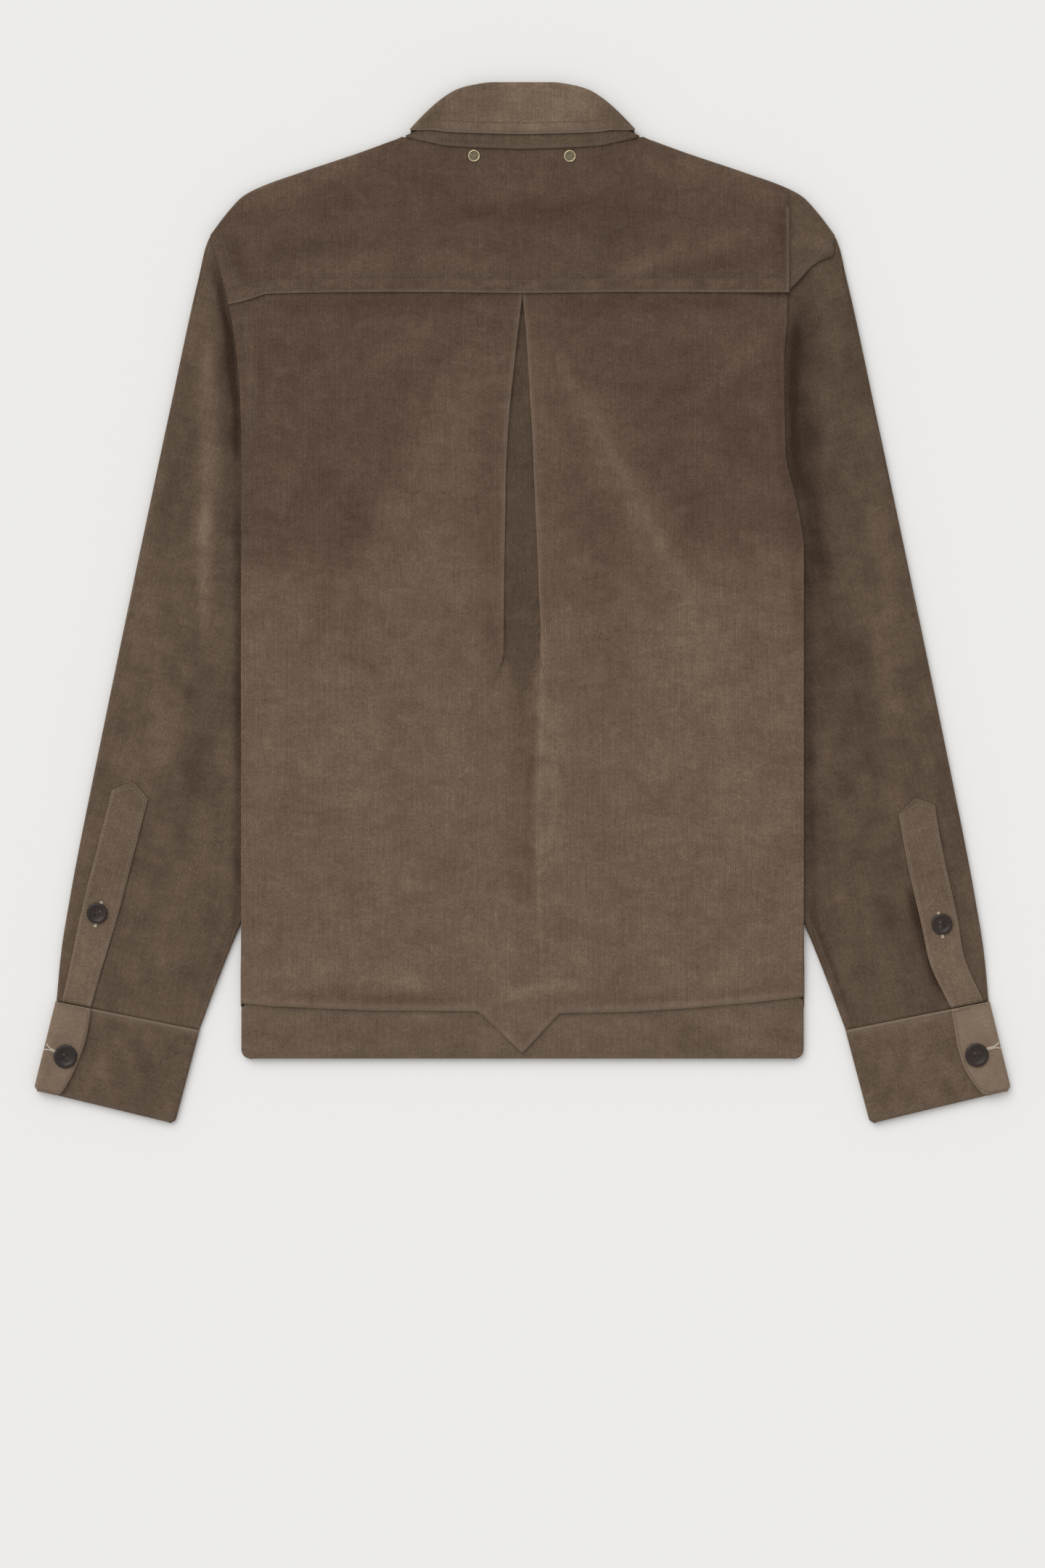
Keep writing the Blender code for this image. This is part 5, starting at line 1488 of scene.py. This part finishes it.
def mottled(name, dark, light, scale, detail, twist=0.0):
    """A finish that drifts between two colours, with its shader and the drift."""
    made, shader = new_material(name)
    tree = made.node_tree
    spot = add_node(tree, "ShaderNodeTexCoord").outputs["Object"]
    cloudy = add_node(tree, "ShaderNodeTexNoise", [
        ("Vector", spot), ("Scale", scale), ("Detail", detail),
        ("Distortion", twist)]).outputs["Fac"]
    tint = add_node(tree, "ShaderNodeMix", [(0, cloudy), (6, paint(dark)), (7, paint(light))],
                    data_type="RGBA")
    tree.links.new(tint.outputs[2], shader.inputs["Base Color"])
    return made, shader, cloudy


# Dark horn, polished: near black with brown swirls of about 12 mm, and a soft uneven gloss
horn, shader, swirl = mottled("dark_polished_horn", "0b0c11", "3c2c22", 85.0, 5.0, twist=1.2)
rough = add_node(horn.node_tree, "ShaderNodeMapRange", [("Value", swirl), ("To Min", 0.3),
                                                        ("To Max", 0.46)])
horn.node_tree.links.new(rough.outputs["Result"], shader.inputs["Roughness"])
shader.inputs["Specular IOR Level"].default_value = 0.35
HOLE_SPREAD = 1.6


def drilled(piece, x, y, spread=HOLE_SPREAD, radius=0.8):
    """Four holes through a button, cut by four pins."""
    pins = bmesh.new()
    for across in (-spread, spread):
        for along in (-spread, spread):
            made = bmesh.ops.create_cone(pins, cap_ends=True, segments=14, radius1=radius * MM,
                                         radius2=radius * MM, depth=30 * MM)["verts"]
            bmesh.ops.translate(pins, verts=made, vec=((x + across) * MM, (y + along) * MM, 8 * MM))
    cutter = put_down(pins, "pins", rounded=False)
    cut = piece.modifiers.new("Holes", "BOOLEAN")
    cut.operation = "DIFFERENCE"
    cut.solver = "EXACT"
    cut.object = cutter
    graph = bpy.context.evaluated_depsgraph_get()
    bored = bpy.data.meshes.new_from_object(piece.evaluated_get(graph))
    piece.modifiers.clear()
    piece.data = bored
    bpy.data.objects.remove(cutter)


def sewn_on(name, x, y, top, spread=HOLE_SPREAD):
    """The thread across a button's holes."""
    rows = [[(x - spread, y + up), (x + spread, y + up)] for up in (-spread, spread)]
    stitched(name, rows, lambda a, b: top, dark_thread, pitch=2 * spread, width=0.6, sunk=0.5)


# Cream twist of the buttonholes, the palest spot on the cloth, and dark thread on the buttons
cream_thread = cotton("cream_buttonhole_thread", "d3c8b4", "b5aa97")
dark_thread = cotton("dark_button_thread", "3b332d", "14110f")
# Worked buttonholes: the line of each slit, on the cuff and then on the placket
BUTTONHOLES = {"left": (((-341.5, -344.6), (-357.6, -337.2)), ((-323.4, -245.2), (-318.2, -225.6))),
               "right": (((341.0, -340.2), (357.6, -335.6)), ((317.9, -253.4), (314.4, -233.6)))}
BUTTONHOLE_HALF = 0.55
FORK_LENGTH = 4.2  # loose ends of thread at the cuff's buttonhole
for name, slits in BUTTONHOLES.items():
    for slit, (start, stop) in enumerate(slits):
        turn = math.atan2(stop[1] - start[1], stop[0] - start[0])
        over = (-math.sin(turn) * BUTTONHOLE_HALF, math.cos(turn) * BUTTONHOLE_HALF)
        rows = [[(spot[0] + over[0] * way, spot[1] + over[1] * way) for spot in (start, stop)]
                for way in (-1, 1)]
        if slit == 0:
            rows += [[(x, y), (x + math.cos(turn + way * 0.42) * FORK_LENGTH,
                               y + math.sin(turn + way * 0.42) * FORK_LENGTH)]
                     for (_, (x, y)), way in zip(rows, (-1, 1))]
        host = cuffs[name] if slit == 0 else plackets[name]
        stitched(f"buttonhole_{name}_{slit + 1}", rows, face_over(host), cream_thread, pitch=1.0,
                 width=1.15, sunk=-0.25)

for name in SIDES:
    for kind, radius, (x, y) in (("cuff_button", CUFF_BUTTON, CUFF_BUTTON_AT[name]),
                                 ("placket_button", PLACKET_BUTTON, PLACKET_BUTTON_AT[name])):
        if kind == "cuff_button":
            seat = CUFF_TAB + CUFF_WALL / 2 + GAP
        else:
            seat = placket_height(x, y) + HALF + GAP
        piece = lathe(f"dressed_{kind}_{name}", button_profile(radius), (x, y, seat))
        drilled(piece, x, y)
        sewn_on(f"{kind}_thread_{name}", x, y, seat + BUTTON_THICKNESS * 0.62)
        dress(piece, horn, "button", f"{kind}_{name}")
FRONT_BUTTON_TOP = 225
FRONT_BUTTON_PITCH = 93
for count in range(6):
    y = FRONT_BUTTON_TOP - count * FRONT_BUTTON_PITCH
    piece = lathe(f"dressed_front_button_{count + 1}", button_profile(CUFF_BUTTON), (0, y, 0))
    drilled(piece, 0, y)
    dress(piece, horn, "button", f"front_button_{count + 1}")

# Eyelets
# Two small rings of pale brass, pressed from sheet and clenched through the yoke below the neck as
# vents. The cloth behind shows crumpled in the hole, its colour darkened with painted shade.

EYELET_AT = {"left": (-36.7, 338.1), "right": (35.8, 337.9)}
EYELET_PROFILE = ((3.5, 0.05), (3.55, 0.45), (3.75, 0.72), (4.0, 0.8), (4.25, 0.72), (4.45, 0.45),
                  (4.5, 0.1))
EYELET_HOLE = 3.55

# Pale brass, pressed: a bright metal with a fine grain of about 1 mm
brass, shader, _ = mottled("pale_brass_pressed", "c9b27c", "efe6c6", 900.0, 3.0)
shader.inputs["Metallic"].default_value = 0.9
shader.inputs["Roughness"].default_value = 0.32
# Lining behind the hole: pressed cotton, darkened with painted shade of the hole, flecked paler at
# about a millimetre
shaded_lining, shader, _ = mottled("pressed_lining_painted_shade", "3b3428", "8a7c60", 800.0, 3.0)
shader.inputs["Metallic"].default_value = 0.35
shader.inputs["Roughness"].default_value = 0.5

for name, (x, y) in EYELET_AT.items():
    top = yoke_height(x, y) + HALF + GAP
    ring = lathe("dressed_eyelet_" + name, EYELET_PROFILE, (x, y, top), steps=40)
    dress(ring, brass, "eyelet", "eyelet_" + name)
    plug = bmesh.new()
    bmesh.ops.create_grid(plug, x_segments=24, y_segments=24, size=EYELET_HOLE * MM)
    for vert in plug.verts:
        across, along = vert.co.x / MM, vert.co.y / MM
        reach = max(abs(across), abs(along)) / (math.hypot(across, along) or 1)
        across, along = across * reach, along * reach
        crumple = 0.35 * noise.noise(Vector((across / 1.5, along / 1.5, x / 20)))
        vert.co = ((x + across) * MM, (y + along) * MM, (top + 0.12 + crumple) * MM)
    piece = put_down(plug, "eyelet_cloth_" + name)
    thick = piece.modifiers.new("Wall", "SOLIDIFY")
    thick.thickness = 0.3 * MM
    thick.offset = -1
    dress(piece, shaded_lining, "eyelet")
